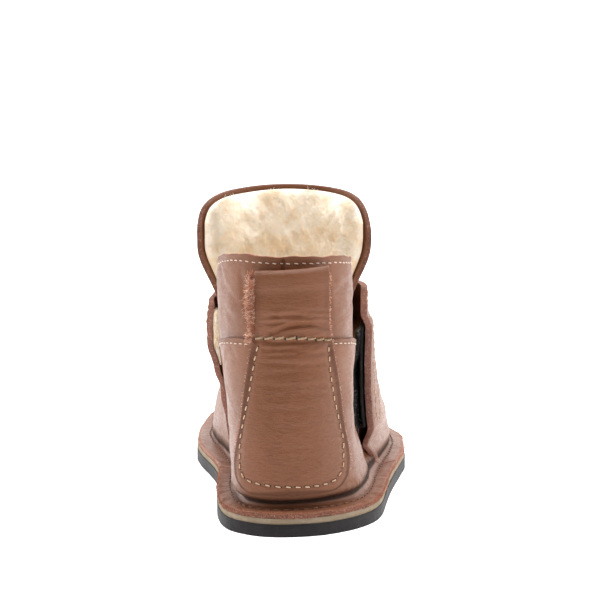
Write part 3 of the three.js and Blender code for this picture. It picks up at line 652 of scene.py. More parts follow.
# %% [markdown]
# ## The quarter itself
# Its upper edge is the cross seam, which falls towards both sides. The relief adds the creases, the gathers
# over the welt seam and the rolled foot behind the heel.

# %% Quarter
LATERAL_FOOT_Y = HEEL_Y + SOLE_LENGTH * 0.42
MEDIAL_FOOT_Y = HEEL_Y + SOLE_LENGTH * 0.372


def seam_at(turn):
    """Height of the cross seam: it falls from the back towards both sides."""
    return SEAM_HEIGHT - SEAM_FALL * (1 - np.cos(np.radians(turn)))


lateral_joint = float(turn_where(1, LATERAL_FOOT_Y, FLANGE_TOP + 1.0, 90, 165))
medial_joint = float(turn_where(1, MEDIAL_FOOT_Y, FLANGE_TOP + 1.0, 262, 200))

QUARTER_CREASES = [
    # turn, z, turn, z, sag, wide, deep
    (-62, 44, -40, 40, 1.5, 2.2, 0.30), (-70, 30, -44, 33, -1.2, 2.4, 0.28),
    (-48, 56, -36, 62, 0.6, 1.6, 0.30), (40, 58, 62, 52, 1.0, 2.0, 0.30), (44, 38, 66, 42, -1.0, 2.4, 0.28),
    (38, 24, 60, 27, 0.8, 2.6, 0.25), (-40, 66, -30, 60, 0.4, 1.3, 0.35), (80, 46, 100, 50, 1.0, 2.0, 0.25),
    (-100, 40, -80, 46, 0.8, 2.0, 0.25),
]


def quarter_turn(u, v):
    reach_side = ease(ROOT - 0.04, ROOT + 0.06, v)
    low_start, low_end = medial_joint - 360 - 0.3, lateral_joint + 0.3
    start = mix(low_start - 3.0, -134.0, reach_side)
    end = mix(low_end + 3.0, 137.0, reach_side)
    return mix(start, end, u)


def quarter_outside(turn, z):
    """How far the quarter's face lies outside the last's wall."""
    relief = 0.20 * uneven(turn, z, 9.0, 1.3) + creased(turn, z, QUARTER_CREASES)
    away = np.abs(turn)
    calm = 1 - 0.8 * np.exp(-((seam_at(turn) - z) / 5.0) ** 2)
    calm = calm * (1 - 0.8 * (1 - ease(24, 30, away)))
    sewn = -0.28 * np.exp(-((seam_at(turn) - z - 2.0) / 0.8) ** 2)
    gathers = 0.16 * np.sin(np.radians(turn) * 74 + 2 * np.sin(turn / 9.0))
    gathers = gathers * np.exp(-((z - 12.6) / 1.5) ** 2) * ease(24, 40, away)
    roll = mix(1.05, 0.35, ease(30, 80, away)) * np.exp(-((z - 13.3) / 1.7) ** 2)
    drawn_in = tuck(turn) * (1 - ease(10.3, 12.4, z))
    slim = 1.9 * ease(48, 78, turn) * ease(18, 32, z) * (1 - ease(46, 64, z))
    slim = slim + 1.7 * ease(48, 78, -turn) * ease(20, 34, z) * (1 - ease(54, 66, z))
    return COUNTER_STEP + relief * calm + sewn + roll + gathers - drawn_in - slim


def quarter_place(u, v, face):
    v = dense(v)
    turn = quarter_turn(u, v)
    tucked = ease(100, 112, np.abs(turn))
    top = mix(seam_at(turn) + 0.22 * np.sin(turn / 7.0) + 0.12 * np.sin(turn / 2.6), 57.0, tucked) + 0 * v
    z = wall_z(turn, v, top)
    outside = mix(quarter_outside(turn, z), -0.35, ease(106, 126, np.abs(turn)) * ease(ROOT, ROOT + 0.12, v))
    return shoe_path(turn, v, face, top, outside, outside - 1.4)


quarter = hide("quarter_leather", 300, 84, quarter_place)
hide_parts("upper")

# %% [markdown]
# ## Collar: a softer band that comes out from under the quarter
# The collar is tucked under the quarter's upper edge. Its own edge is cut raw, so its cross-section shows.

# %% Collar
collar_top = curve([-112, -104, -96, -90, -84, -70, -55, -30, 0, 30, 55, 70, 84, 90, 96, 104, 112],
                   [60, 64, 76, 87, 90.8, 93.0, 94.8, 96.7, 96.7, 96.0, 94.3, 93.0, 91.0, 87, 76, 64, 60])
COLLAR_CREASES = [
    (-58, 84, -34, 80, 1.2, 1.5, 0.32), (-50, 76, -30, 74, -0.8, 1.4, 0.30),
    (-66, 90, -52, 86, 0.5, 1.4, 0.25), (32, 82, 60, 86, 1.0, 1.6, 0.28), (34, 74, 56, 76, -0.6, 1.4, 0.28),
    (-30, 90, -24, 72, 0.6, 1.4, 0.32), (26, 90, 30, 73, -0.5, 1.5, 0.30), (60, 78, 80, 74, 0.8, 1.8, 0.25),
    (-84, 80, -66, 76, 0.8, 1.8, 0.25),
]


def collar_outside(turn, z):
    """How far the collar's face lies outside the last's wall; pressed in along its stitches and its back seam."""
    sewn = -0.35 * np.exp(-((z - (collar_top(turn) - 2.4)) / 0.7) ** 2)
    notch = -1.3 * np.exp(-((turn + 1.5) / 1.3) ** 2) * ease(70, 90, z)
    relief = 0.22 * uneven(turn, z, 7.0, 4.2) + creased(turn, z, COLLAR_CREASES) + notch + sewn
    return 0.05 + relief * ease(1, 6, z - seam_at(turn))


def collar_place(u, v, face):
    turn = mix(-110.0, 110.0, u)
    top = collar_top(turn) + 0.18 * np.sin(turn / 5.3) + 0.12 * np.sin(turn / 2.3)
    z = mix(np.minimum(seam_at(turn) - 6, top - 6), top, v)
    outside = collar_outside(turn, z)
    return skin_at(turn, z, outside if face else outside - 1.7)


collar = hide("collar_leather", 260, 34, collar_place)
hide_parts("upper")

# %% [markdown]
# ## Vamp: toe, instep and both wings from one piece
# The vamp runs from the closing flap's cut edge round the toe to the inner wing. At the flap it stands off
# the quarter, because the hook and the loop tape lie between them.

# %% Vamp
FLAP_TOP, WING_TOP, FLAP_LEATHER = 78.6, 71.5, 2.5
FLAP_REAR_Y = HEEL_Y + SOLE_LENGTH * 0.349
FLAP_BACK_X = BALL_WIDTH * 0.269
FLAP_CORNER, FLAP_FOOT = 22.0, FLANGE_TOP + 1.2
TAPE_LOW, TAPE_HIGH = 25.6, 63.4

level = np.linspace(FLAP_FOOT, 84, 90)
rear_y = mix(LATERAL_FOOT_Y, FLAP_REAR_Y, np.clip((level - FLAP_FOOT) / (FLAP_CORNER - FLAP_FOOT), 0, 1))
lateral_rear = curve(level, turn_where(1, rear_y, level, 95, 165))
wing_y = mix(MEDIAL_FOOT_Y, FLAP_REAR_Y + 1, ease(0.44, 0.52, level / COLLAR_HEIGHT))
medial_rear = curve(level, turn_where(1, wing_y, level, 262, 200))
vamp_edge = curve([95, 112, 150, 180, 214, 236, 262], [79.9, FLAP_TOP, 78.3, 78.8, 77.0, 73.0, WING_TOP])

VAMP_CREASES = [
    (160, 40, 200, 42, 1.6, 3.2, 0.75), (156, 31, 204, 33, 1.8, 3.4, 0.65),
    (164, 50, 196, 51, 1.2, 2.8, 0.55), (140, 44, 158, 50, 0.8, 2.6, 0.40),
    (202, 48, 222, 44, 0.8, 2.6, 0.40), (150, 24, 168, 27, 1.0, 3.4, 0.35),
    (172, 62, 192, 61, 0.6, 2.2, 0.40), (124, 30, 146, 34, -0.8, 2.8, 0.30),
    (214, 30, 236, 26, 0.8, 2.8, 0.35), (166, 70, 190, 71, 0.5, 1.8, 0.30),
    (126, 56, 146, 62, 0.8, 2.4, 0.28), (218, 58, 240, 52, 0.6, 2.2, 0.30),
]


def flap_stand(turn, z):
    """Inner face of the flap, from the last, at its rear edge."""
    taped = ease(TAPE_LOW - 8, TAPE_LOW, z) * (1 - ease(TAPE_HIGH, TAPE_HIGH + 8, z))
    held = COUNTER_STEP + 2 * TAPE + 4.8 * GAP
    rear = lateral_rear(z)
    back_x = wall_point(rear, t_at(rear, z))[..., 0]
    return np.maximum(FLAP_BACK_X - back_x, mix(0.9, held, taped))


def vamp_faces(turn, z, start, end):
    """Distances of the vamp's face and back from the last's wall, between its two rear edges."""
    flap = 1 - ease(0.12, 0.82, (turn - start) / (166 - start))
    wing = np.clip(1 - (end - turn) / (end - 214.0), 0, 1) ** 1.5
    high = z / COLLAR_HEIGHT
    bulge = ease(0.44, 0.58, high) * (1 - ease(0.62, 0.78, high))
    raise_wing = mix(1.5, 3.2, bulge)
    stand = flap_stand(turn, z)
    thick = mix(1.9, FLAP_LEATHER, ease(FLAP_FOOT, FLAP_CORNER + 8, z))
    front = 1.35 + flap * (stand + thick - 1.35) + wing * (raise_wing + 0.6 - 1.35)
    back = -0.25 + flap * (stand + 0.25) + wing * (raise_wing - 1.6 + 0.25)
    relief = 0.20 * uneven(turn, z, 11.0, 2.6) * (1 - 0.9 * flap)
    relief = relief + creased(turn, z, VAMP_CREASES) * (1 - 0.8 * flap)
    return front + relief, np.minimum(back + relief, front + relief - 1.2)


def vamp_place(u, v, face):
    v = dense(v)
    level_top = vamp_edge(mix(112.0, 244.0, u))
    z = mix(FLANGE_TOP + 2.3, level_top, np.clip((v - ROOT) / (1 - ROOT), 0, 1))
    start, end = lateral_rear(z), medial_rear(z)
    at_foot = 1 - ease(ROOT - 0.02, ROOT + 0.05, v)
    start, end = mix(start, lateral_joint - 0.5, at_foot), mix(end, medial_joint + 0.5, at_foot)
    turn = mix(start, end, u)
    top = vamp_edge(turn)
    z = wall_z(turn, v, top)
    front, back = vamp_faces(turn, z, start, end)
    risen = ease(ROOT, ROOT + 0.08, v)
    return shoe_path(turn, v, face, top, mix(1.5, front, risen), mix(0.1, back, risen), 0.25)


vamp = hide("vamp_leather", 300, 90, vamp_place)
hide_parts("upper")

# %% [markdown]
# ## Heel patch and pull loop
# One long strip: its wide end is sewn over the quarter down to the heel, and its narrow end is folded back
# on itself above the seam and caught under it, which leaves a loop for a finger.

# %% Heel patch and loop
STRIP_CENTRE = -BALL_WIDTH * 0.036
STRIP_LEATHER = 1.7
STRIP_SEAT = GAP + 1.25
LOOP_TOP = COLLAR_HEIGHT - 2.7
half_width = curve(np.array([13.9, 14.6, 16.5, 19.5, 24, 40, 55, 69, 76, 98]) * COLLAR_HEIGHT / 100,
                   np.array([12.5, 15.8, 18.6, 20.2, 20.6, 18.3, 16.5, 14.2, 13.1, 12.9]) * BALL_WIDTH / 82.8)
seated = COUNTER_STEP + STRIP_SEAT
# height, distance of the strip's middle from the last
STRIP_PATH = [
    (13.9, seated - 0.5), (17, seated - 0.1), (24, seated), (36, seated), (48, seated), (58, seated),
    (SEAM_HEIGHT - 3, seated), (SEAM_HEIGHT + 1, seated + 0.1), (SEAM_HEIGHT + 6, seated + 1.3),
    (LOOP_TOP - 13, seated + 2.5), (LOOP_TOP - 8, seated + 2.4), (LOOP_TOP - 4.4, seated + 3.1),
    (LOOP_TOP - 2.0, seated + 3.2), (LOOP_TOP - 0.6, seated + 2.2), (LOOP_TOP - 0.5, seated + 0.7),
    (LOOP_TOP - 1.6, seated - 0.4), (LOOP_TOP - 4, STRIP_SEAT + 0.5), (LOOP_TOP - 8, STRIP_SEAT + 0.1),
    (LOOP_TOP - 14, STRIP_SEAT), (SEAM_HEIGHT + 4, STRIP_SEAT),
]
path = np.array(STRIP_PATH)
run = np.append(0, np.cumsum(np.linalg.norm(np.diff(path, axis=0), axis=1)))
run /= run[-1]
strip_height, strip_out = curve(run, path[:, 0]), curve(run, path[:, 1])
# x, z, x, z in place of directions, then sag, wide and deep
PATCH_CREASES = [
    (-9.8, 70.6, 10.2, 70.8, 2.9, 0.75, 0.75), (-9, 66.6, 13, 66.9, 0.4, 1.0, 0.45),
    (-6, 65.6, 5, 65.2, 0.3, 0.6, 0.32), (-12, 64.6, 3, 64.0, 0.5, 0.8, 0.36),
    (2, 63.0, 12, 63.6, -0.3, 0.8, 0.32), (-13, 62.2, -2, 62.8, 0.3, 0.7, 0.28),
    (-15, 60.5, 12, 60.0, -0.5, 1.0, 0.34), (-4, 58.4, 8, 58.8, 0.3, 0.8, 0.26),
    (-12, 56.5, 9, 57.0, 0.5, 0.9, 0.28), (-14, 52.5, 12, 52.0, -0.4, 1.0, 0.26),
    (-6, 50.4, 3, 50.2, 0.2, 0.7, 0.20), (-10, 48.5, 13, 49.0, 0.5, 1.1, 0.22),
    (-13, 44.0, 5, 43.5, 0.3, 1.1, 0.20), (-8, 37.5, 6, 37.9, 0.3, 1.0, 0.14),
    (-12, 31.0, 8, 30.6, -0.3, 1.0, 0.12), (-14, 86.4, 9, 87.4, 0.6, 0.9, 0.34),
    (-13, 81.6, -1, 81.0, 0.4, 0.7, 0.40), (-4, 83.4, 9, 82.2, -0.4, 0.7, 0.36),
    (-12, 76.2, 2, 76.8, 0.5, 0.8, 0.42), (0, 78.6, 10, 77.6, 0.3, 0.7, 0.36),
    (-10, 79.4, -3, 79.0, 0.2, 0.6, 0.30), (-14, 73.6, -2, 74.2, 0.4, 0.7, 0.30),
    (3, 73.8, 10, 73.4, 0.2, 0.7, 0.26), (-8, 80.4, 1, 79.0, 0.1, 0.5, 0.24),
    (-11, 77.4, -6, 75.6, 0.1, 0.5, 0.22), (2, 80.8, 11, 79.6, -0.2, 0.5, 0.24),
    (-3, 77.8, 3, 75.4, 0.1, 0.5, 0.22), (4, 76.2, 11, 75.0, 0.2, 0.5, 0.26),
    (-13, 84.0, -6, 83.2, 0.2, 0.6, 0.22), (-5, 72.4, 2, 72.9, 0.2, 0.5, 0.20),
    (-9, 68.7, -2, 68.0, 0.1, 0.5, 0.22), (3, 68.4, 11, 68.9, 0.2, 0.5, 0.22),
]


def strip_point(across, z, out):
    held = np.clip(z, FLANGE_TOP + 1, RING_HEIGHT - 0.5)
    x = STRIP_CENTRE + across * half_width(z)
    turn = turn_where(0, x, held, -80, 80, out)
    return skin_at(turn, held, out)


# x, z of the thread from one end of the seam to the other
PATCH_STITCH = np.array([
    (-14.6, 66.5), (-16.1, 59.6), (-18.0, 47.9), (-20.2, 37.1), (-21.2, 29.5), (-21.2, 23.2), (-20.0, 19.6),
    (-17.2, 18.3), (-10.6, 17.6), (-1.9, 17.1), (6.8, 16.8), (11.2, 17.4), (13.6, 19.0), (14.9, 22.2),
    (15.0, 29.5), (13.9, 36.0), (11.7, 46.7), (10.2, 57.2), (9.6, 65.5),
])


def away_from(x, z, line):
    """Distance from points to a polyline, in millimetres."""
    best = np.full(np.shape(x), 1e9)
    for (x0, z0), (x1, z1) in zip(line[:-1], line[1:]):
        dx, dz = x1 - x0, z1 - z0
        s = np.clip(((x - x0) * dx + (z - z0) * dz) / (dx * dx + dz * dz), 0, 1)
        best = np.minimum(best, np.hypot(x - x0 - s * dx, z - z0 - s * dz))
    return best


def strip_relief(x, z):
    across = (x - STRIP_CENTRE) / half_width(z)
    rim = half_width(z) * (1 - np.abs(across))
    patch = 1 - ease(67, 70, z)
    folds = creased(x / 0.62, z, [(r[0] / 0.62, r[1], r[2] / 0.62, *r[3:]) for r in PATCH_CREASES])
    folds = folds * (1 + 0.6 * ease(58, 64, z))
    sewn = -0.34 * np.exp(-(away_from(x, z, PATCH_STITCH) / 0.75) ** 2) * patch
    seam = -0.70 * np.exp(-((z - (SEAM_HEIGHT - 0.2)) / 1.0) ** 2)
    curl = 0.7 * ease(0.72, 1.0, -across) * ease(74, 88, z) + 0.35 * ease(0.8, 1.0, across) * ease(76, 86, z)
    thinner = -0.22 * (1 - ease(0, 1.8, rim)) * patch
    return folds + sewn + seam + curl + thinner + 0.09 * uneven(x * 1.6, z, 6.0, 0.4)


def strip_place(u, v, face):
    a, b = np.clip(v - 0.006, 0, 1), np.clip(v + 0.006, 0, 1)
    dz, dn = strip_height(b) - strip_height(a), strip_out(b) - strip_out(a)
    length = np.hypot(dz, dn)
    side = (0.5 if face else -0.5) * STRIP_LEATHER
    z = strip_height(v) - side * dn / length
    z = z - mix(1.8, 0.4, u) * ease(72, 90, z)
    out = strip_out(v) + side * dz / length
    across = 2 * u - 1
    relief = strip_relief(STRIP_CENTRE + across * half_width(z), z) * (1 - ease(0.60, 0.68, v))
    return strip_point(across, z, out + (relief if face else 0.4 * relief))


strip = hide("heel_patch_and_loop", 56, 190, strip_place, bevel=0.3)
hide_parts("heel_patch_loop")

# %% [markdown]
# ## Tongue
# The tongue follows the inside of the vamp and stands up above it, flaring outwards at both corners. Its
# leather shows as a narrow rim round the fleece that lines it.

# %% Tongue
TONGUE_LEATHER, TONGUE_FLEECE = 1.7, 5.4
TONGUE_FLARE, TONGUE_CROWN, TONGUE_CORNER = 6.0, 5.0, 10.0
TONGUE_FOOT = NOTCH_HEIGHT - 4


def tongue_point(across, height, out):
    crown = TONGUE_HEIGHT - TONGUE_CROWN * across ** 2 - TONGUE_CORNER * np.abs(across) ** 7
    z = mix(TONGUE_FOOT, crown, height)
    spread = mix(30, 62, ease(TONGUE_FOOT * 0.9, SEAM_HEIGHT * 1.07, z))
    turn = 179 + across * spread
    held = np.minimum(z, COLLAR_HEIGHT)
    p = skin_at(turn, held, -COUNTER_INSIDE - 3 * GAP + out)
    widest = TONGUE_FLARE * np.where(across < 0, 1, 1.25)
    edge_only = mix(4.5, 1.5, ease(VAMP_TOP, COLLAR_HEIGHT, z))
    flare = widest * ease(SEAM_HEIGHT * 1.03, COLLAR_HEIGHT * 0.97, z) * np.abs(across) ** edge_only
    lean = 0.12 * np.maximum(0, z - COLLAR_HEIGHT)
    return np.stack([p[..., 0] - np.sign(across) * flare, p[..., 1] + lean, p[..., 2] + z - held], axis=-1)


def tongue_place(u, v, face):
    across = 2 * u - 1
    wave = 0.25 * np.sin(across * 9 + v * 5) + 0.18 * np.sin(across * 17 - v * 8)
    return tongue_point(across, v, (0.0 if face else -TONGUE_LEATHER) + 0.5 * wave * ease(0.3, 0.6, v))


tongue = hide("tongue_leather", 90, 60, tongue_place, bevel=0.35)
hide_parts("tongue")

# %% [markdown]
# ## Fleece
# Sheepskin is a hide with its wool on. Each fleece piece is a lumpy sheet, for the dense wool near the hide,
# with thousands of short curved fibres on it that lean together in locks. All fibres of a piece are one
# curve object with tapering radii, turned into a mesh.

# %% Helper: fibres
triangle = bpy.data.curves.new("fibre_section", "CURVE")
triangle.dimensions = "2D"
ring = triangle.splines.new("POLY")
ring.points.add(2)
ring.use_cyclic_u = True
for k, point in enumerate(ring.points):
    point.co = (0.5 * MM * math.cos(k * 2.0944), 0.5 * MM * math.sin(k * 2.0944), 0, 1)
three_sided = bpy.data.objects.new("fibre_section", triangle)
bpy.context.scene.collection.objects.link(three_sided)


def pile(name, roots, lean, length, thick, curl, points=4, spread=0.5):
    """roots: N x 3 mm, lean: N x 3 directions. Fibres bend from their lean towards a shared swirl."""
    count = len(roots)
    lean = unit(lean)
    swirl = np.stack([np.sin(roots[:, 0] * 0.45 + roots[:, 2] * 0.31), np.sin(roots[:, 1] * 0.5 + 1),
                      np.cos(roots[:, 2] * 0.42 - roots[:, 0] * 0.37)], axis=1)
    loose = rng.normal(size=(count, 3)) * spread
    bend = swirl * 0.8 + loose
    size = length * (0.65 + 0.6 * rng.random(count))
    phase = rng.random(count) * 6.28
    side_a = np.cross(lean, bend)
    side_a /= np.linalg.norm(side_a, axis=1)[:, None] + 1e-9
    side_b = np.cross(lean, side_a)
    data = bpy.data.curves.new(name, "CURVE")
    data.dimensions = "3D"
    data.bevel_mode = "OBJECT"
    data.bevel_object = three_sided
    data.use_fill_caps = False
    share = np.linspace(0, 1, points)
    for k in range(count):
        s = share[:, None]
        angle = phase[k] + 5 * s
        twist = curl * size[k] * 0.2 * s * (side_a[k] * np.cos(angle) + side_b[k] * np.sin(angle))
        p = roots[k] + size[k] * (lean[k] * s + bend[k] * 0.5 * s * s) + twist
        add_spline(data, p, thick * (1.0 - 0.8 * share))
    obj = keep_curve(name, data)
    print(name, count, "fibres,", len(obj.data.polygons), "faces")
    return obj


def fibres(full, quick):
    return full


def lumps(p, size, seed=0.0):
    a = p / size
    return (np.sin(a[..., 0] * 2.1 + a[..., 2] * 1.3 + seed) * np.sin(a[..., 1] * 1.9 - a[..., 2] * 1.1 + 2 * seed)
            + 0.6 * np.sin(a[..., 2] * 3.3 + a[..., 0] * 1.7 - seed) * np.sin(a[..., 0] * 3.9 - a[..., 1] * 2.7))

# %% [markdown]
# ## The tongue's fleece
# The deepest wool of the boot. It fades towards the tongue's edge, where the leather shows, and its fibres
# are combed downwards in locks.

# %% Tongue's fleece
MARGIN = 0.945  # of the tongue's width


def tongue_fleece_place(u, v, face):
    across = (2 * u - 1) * MARGIN
    height = mix(0.03, 0.975, v)
    rim = np.clip(np.minimum(np.minimum(u, 1 - u) * 14, (1 - v) * 9), 0, 1)
    p = tongue_point(across, height, 0 * across)
    tufts = 0.7 * lumps(p, 5.0, 1.0) + 0.35 * lumps(p, 2.1, 2.0) + 0.16 * lumps(p, 0.9, 0.5)
    deep = TONGUE_FLEECE * (0.25 + 0.60 * np.sqrt(rim)) + tufts * (0.35 + 0.65 * rim)
    behind = -TONGUE_LEATHER - 2.4 * GAP
    return tongue_point(across, height, behind if face else behind - deep)


tongue_fleece = hide("tongue_fleece_base", 130, 110, tongue_fleece_place, bevel=0.6)
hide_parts("tongue_fleece")

def tongue_fibres(name, count, length, thick):
    u = rng.random(count)
    u = np.where(rng.random(count) < 0.30, np.round(u) + (0.5 - np.round(u)) * 0.14 * rng.random(count), u)
    v = 1 - rng.random(count) ** 1.25
    v = np.where(rng.random(count) < 0.12, 1 - 0.05 * rng.random(count), v)
    p = tongue_fleece_place(u, v, 0)
    inward = unit(p - tongue_fleece_place(u, v, 1))
    out = np.column_stack([(2 * u - 1) * ease(0.8, 1.0, np.abs(2 * u - 1)), 0 * u, 0.3 * ease(0.9, 1, v)])
    length = length * (1 - 0.5 * ease(0.94, 1.0, v))
    comb = np.column_stack([0.5 * np.sin(p[:, 2] * 0.33 + p[:, 0] * 0.2), 0 * u,
                            -0.35 + 0.5 * np.sin(p[:, 0] * 0.4)])
    lean = inward * 0.75 + out * 0.55 + comb + 0.22 * rng.normal(size=(count, 3))
    return pile(name, p - inward * 0.6, lean, length, thick, 1.2)


tongue_pile = tongue_fibres("tongue_fleece_pile", fibres(6000, 1500), 2.3, 0.31)
tongue_fluff = tongue_fibres("tongue_fleece_fluff", fibres(5000, 1500), 3.2, 0.20)

# %% [markdown]
# ## The lining
# One shell of fleece inside quarter, collar and vamp. Its top follows the collar behind and lies deeper in
# front of the ankle, where the tongue stands.

# %% Fleece lining of the foot and the collar
lining_top = curve([-112, -104, -96, -90, -84, -70, 0, 70, 84, 90, 96, 104, 112, 150, 180, 210, 248],
                   [56, 58, 70, 84, 90.0, 91.8, 94.4, 91.8, 90.0, 84, 70, 58, 56, 52.5, 51.5, 52.5, 56])


def lining_top_at(turn):
    signed = (turn + 180) % 360 - 180
    return lining_top(np.where(signed < -112, signed + 360, signed))


def in_front(turn):
    """1 in front of the ankle, where the vamp lies round the lining, and 0 behind it."""
    return ease(96, 112, turn % 360) * (1 - ease(248, 264, turn % 360))


def lining_place(u, v, face):
    turn = 360 * u
    top = lining_top_at(turn)
    t = mix(t_at(turn, FLANGE_TOP + 1 + 0 * turn), t_at(turn, top), v)
    z = wall_height(turn, t)
    blend = ease(SEAM_HEIGHT * 0.7, SEAM_HEIGHT * 0.92, z)
    inside = -mix(LEATHER, COUNTER_INSIDE, in_front(turn))
    outer = mix(-COUNTER_INSIDE, inside, blend) - GAP - 0.35
    p = skin(turn, t, outer)
    deep = FLEECE * (0.8 - 0.35 * ease(0.95, 1.0, v)) + 0.5 * lumps(p, 5.0, 3.0)
    return p if face else skin(turn, t, outer - deep)


lining = hide("fleece_lining_base", 240, 44, lining_place, bevel=0.0, wrap=True)
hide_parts("fleece_lining")

def lining_fibres(name, count, length, thick):
    u = np.where(rng.random(count) < 0.75, (rng.random(count) * 0.62 - 0.31) % 1.0, rng.random(count))
    v = 1 - 0.8 * rng.random(count) ** 1.6
    at_back = ((u < 0.2) | (u > 0.8)) & ~((u > 0.953) & (u < 0.975))
    v = np.where((rng.random(count) < 0.3) & ~at_back, 1 - 0.015 * rng.random(count), v)
    p = lining_place(u, v, 0)
    inward = unit(p - lining_place(u, v, 1))
    at_rim = ease(0.96, 1.0, v)[:, None]
    roots = p - inward * (0.5 + at_rim * rng.random((count, 1)) * 2.6)
    upward = np.array([0, 0, 1]) * (0.2 + 0.35 * at_rim)
    lean = inward * (0.95 - 0.45 * at_rim) + upward + 0.3 * rng.normal(size=(count, 3))
    return pile(name, roots, lean, length, thick, 1.2, points=3)


lining_pile = lining_fibres("fleece_lining_pile", fibres(6000, 1500), 2.0, 0.32)

# %% [markdown]
# ## Insole and the wing's fleece
# The insole is a fleece sheet that lies on the turned-out leather. At the inner wing a strip of the lining
# shows past the leather's cut edge.

# %% Insole
insole_reach = reach(FLANGE_WIDTH + COUNTER_INSIDE + FLEECE + 2 * GAP + 2.2 - 2.6)


def insole_place(u, v, face):
    turn = 360 * u
    r = insole_reach(turn) * np.clip(1 - v, 0.0, 1)
    shift = ease(0.0, 1.0, v) * 30.0
    p = polar(turn, r, 0 * turn)
    y = p[..., 1] + shift
    z = FLANGE_BOTTOM + (3.0 + 0.35 * lumps(np.stack([p[..., 0], y, 0 * turn], -1), 4.0) if face else 0.0)
    return lifted(p[..., 0], y, z + 0 * turn)


insole = hide("insole_fleece_base", 96, 24, insole_place, bevel=0.0, wrap=True)
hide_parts("insole")
count = fibres(2500, 1000)
u, v = rng.random(count), 1 - np.sqrt(rng.random(count)) * 0.97
p = insole_place(u, v, 1)
lean = np.column_stack([0 * u, -0.2 + 0 * u, 0.7 + 0 * u]) + 0.45 * rng.normal(size=(count, 3))
insole_pile = pile("insole_fleece_pile", p - [0, 0, 0.4], lean, 2.6, 0.36, 1.0, points=3)

# %% Fleece strip on the wing's inner side
def wing_strip_place(u, v, face):
    z = mix(49.0, 69.5, v)
    end = medial_rear(z)
    turn = end - mix(0.6, 9.0, u)
    back = vamp_faces(turn, z, lateral_rear(z), end)[1]
    tufts = 0.2 * np.sin(v * 40) + 0.15 * np.sin(v * 73 + 1)
    return skin_at(turn, z, back - (0.15 if face else 1.5 + tufts))


wing_strip = hide("wing_fleece_strip", 10, 60, wing_strip_place, bevel=0.3)
count = fibres(900, 150)
u, v = rng.random(count) ** 2 * 0.6, rng.random(count)
p = wing_strip_place(u, v, 0)
lean = unit(p - wing_strip_place(u, v, 1)) * 0.5 + [0, -0.7, 0] + 0.4 * rng.normal(size=(count, 3))
wing_fluff = pile("wing_fleece_strip_pile", p, lean, 1.3, 0.26, 1.0)

# %% [markdown]
# ## Hook and loop tapes
# The hook tape is sewn on the quarter, the loop tape inside the flap, and they face each other. Fine
# bristles stand on the hook tape, and a few pale ones are painted highlights, the glints of its shiny hooks.

# %% Hook and loop tapes
def tape_place(out, back):
    def place(u, v, face):
        z = mix(TAPE_LOW, TAPE_HIGH, v) + 0.25 * np.sin(u * 21)
        y = FLAP_REAR_Y + mix(back, 13, u) + 0.2 * np.sin(v * 37)
        turn = turn_where(1, y, z, 60, 165)
        on_quarter = quarter_outside(turn, z) - COUNTER_STEP if back < -2 else 0.0
        return skin_at(turn, z, out + on_quarter + (TAPE if face else 0) + 0 * u)
    return place


hook_on_quarter = tape_place(COUNTER_STEP + GAP, -8.0)
hook = hide("hook_tape_weave", 24, 40, hook_on_quarter, bevel=0.12)
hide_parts("hook_tape")
loop_on_flap = tape_place(COUNTER_STEP + 2 * GAP + TAPE, -1.0)
loop = hide("loop_tape_weave", 16, 40, loop_on_flap, bevel=0.12)
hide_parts("loop_tape")


def tape_fuzz(name, count, length, thick):
    u, v = rng.random(count) * 0.5, rng.random(count)
    u = np.where(rng.random(count) < 0.35, 0.0, u)
    p = hook_on_quarter(u, v, 1)
    lean = unit(p - hook_on_quarter(u, v, 0)) + 0.6 * rng.normal(size=(count, 3))
    return pile(name, p - 0.2 * lean, lean, length, thick, 2.0, points=3)


bristles = tape_fuzz("hook_tape_bristles", fibres(2600, 300), 1.15, 0.17)
# pale bristles: painted highlights, glints of light on the shiny hooks
glints = tape_fuzz("hook_tape_worn_bristles", fibres(110, 20), 1.0, 0.22)

# %% [markdown]
# ## Seams
# Each stitch is a short piece of waxed thread that comes out of one hole and dives into the next, so the
# leather is pressed in along the row. A row is a line on the boot, given by directions and heights.

# %% Helper: rows of stitches
def resample(points, pitch):
    steps = np.linalg.norm(np.diff(points, axis=0), axis=1)
    run = np.append(0, np.cumsum(steps))
    count = max(1, int(round(run[-1] / pitch)))
    return run, run[-1] / count, count


def stitch_row(name, points, outward, pitch, share, thick, plies=1, lift=0.5, slant=0.0):
    """points and outward: N x 3 along the seam, in mm and as unit vectors."""
    run, step, count = resample(points, pitch)
    data = bpy.data.curves.new(name, "CURVE")
    data.dimensions = "3D"
    data.bevel_depth = thick * MM / 2 / (1 if plies == 1 else 1.7)
    data.bevel_resolution = 1
    data.use_fill_caps = True
    holes = []
    for k in range(count):
        middle = (k + 0.5) * step + 0.06 * step * math.sin(k * 5.3)
        half_run = step * share / 2 * (1 + 0.05 * math.sin(k * 3.1))
        s = np.linspace(-1, 1, 7 if plies == 1 else 13)
        here = middle + s * half_run
        p = np.column_stack([np.interp(here, run, points[:, c]) for c in range(3)])
        n = np.column_stack([np.interp(here, run, outward[:, c]) for c in range(3)])
        high = thick * lift * (1 - np.abs(s) ** 6) - 0.32 * np.abs(s) ** 8
        aside = np.cross(unit(np.gradient(p, axis=0)), n)
        p = p + aside * 0.05 * math.sin(k * 2.3)
        if slant:
            p = p + aside * (slant * s + 0.35 * slant * (s ** 2 - 0.5))[:, None]
        for ply in range(plies):
            angle = s * 4.2 + ply * math.pi
            wind = thick * 0.27 if plies > 1 else 0.0
            q = p + n * (high + wind * np.sin(angle))[:, None] + aside * (wind * np.cos(angle))[:, None]
            add_spline(data, q, 1 - 0.45 * np.abs(s) ** 4)
        holes += [(p[0], n[0]), (p[-1], n[-1])]
    all_holes.extend((p, n, thick) for p, n in holes)
    seams.append(keep_curve(name, data))
    print(name, count, "stitches")


seams, all_holes = [], []


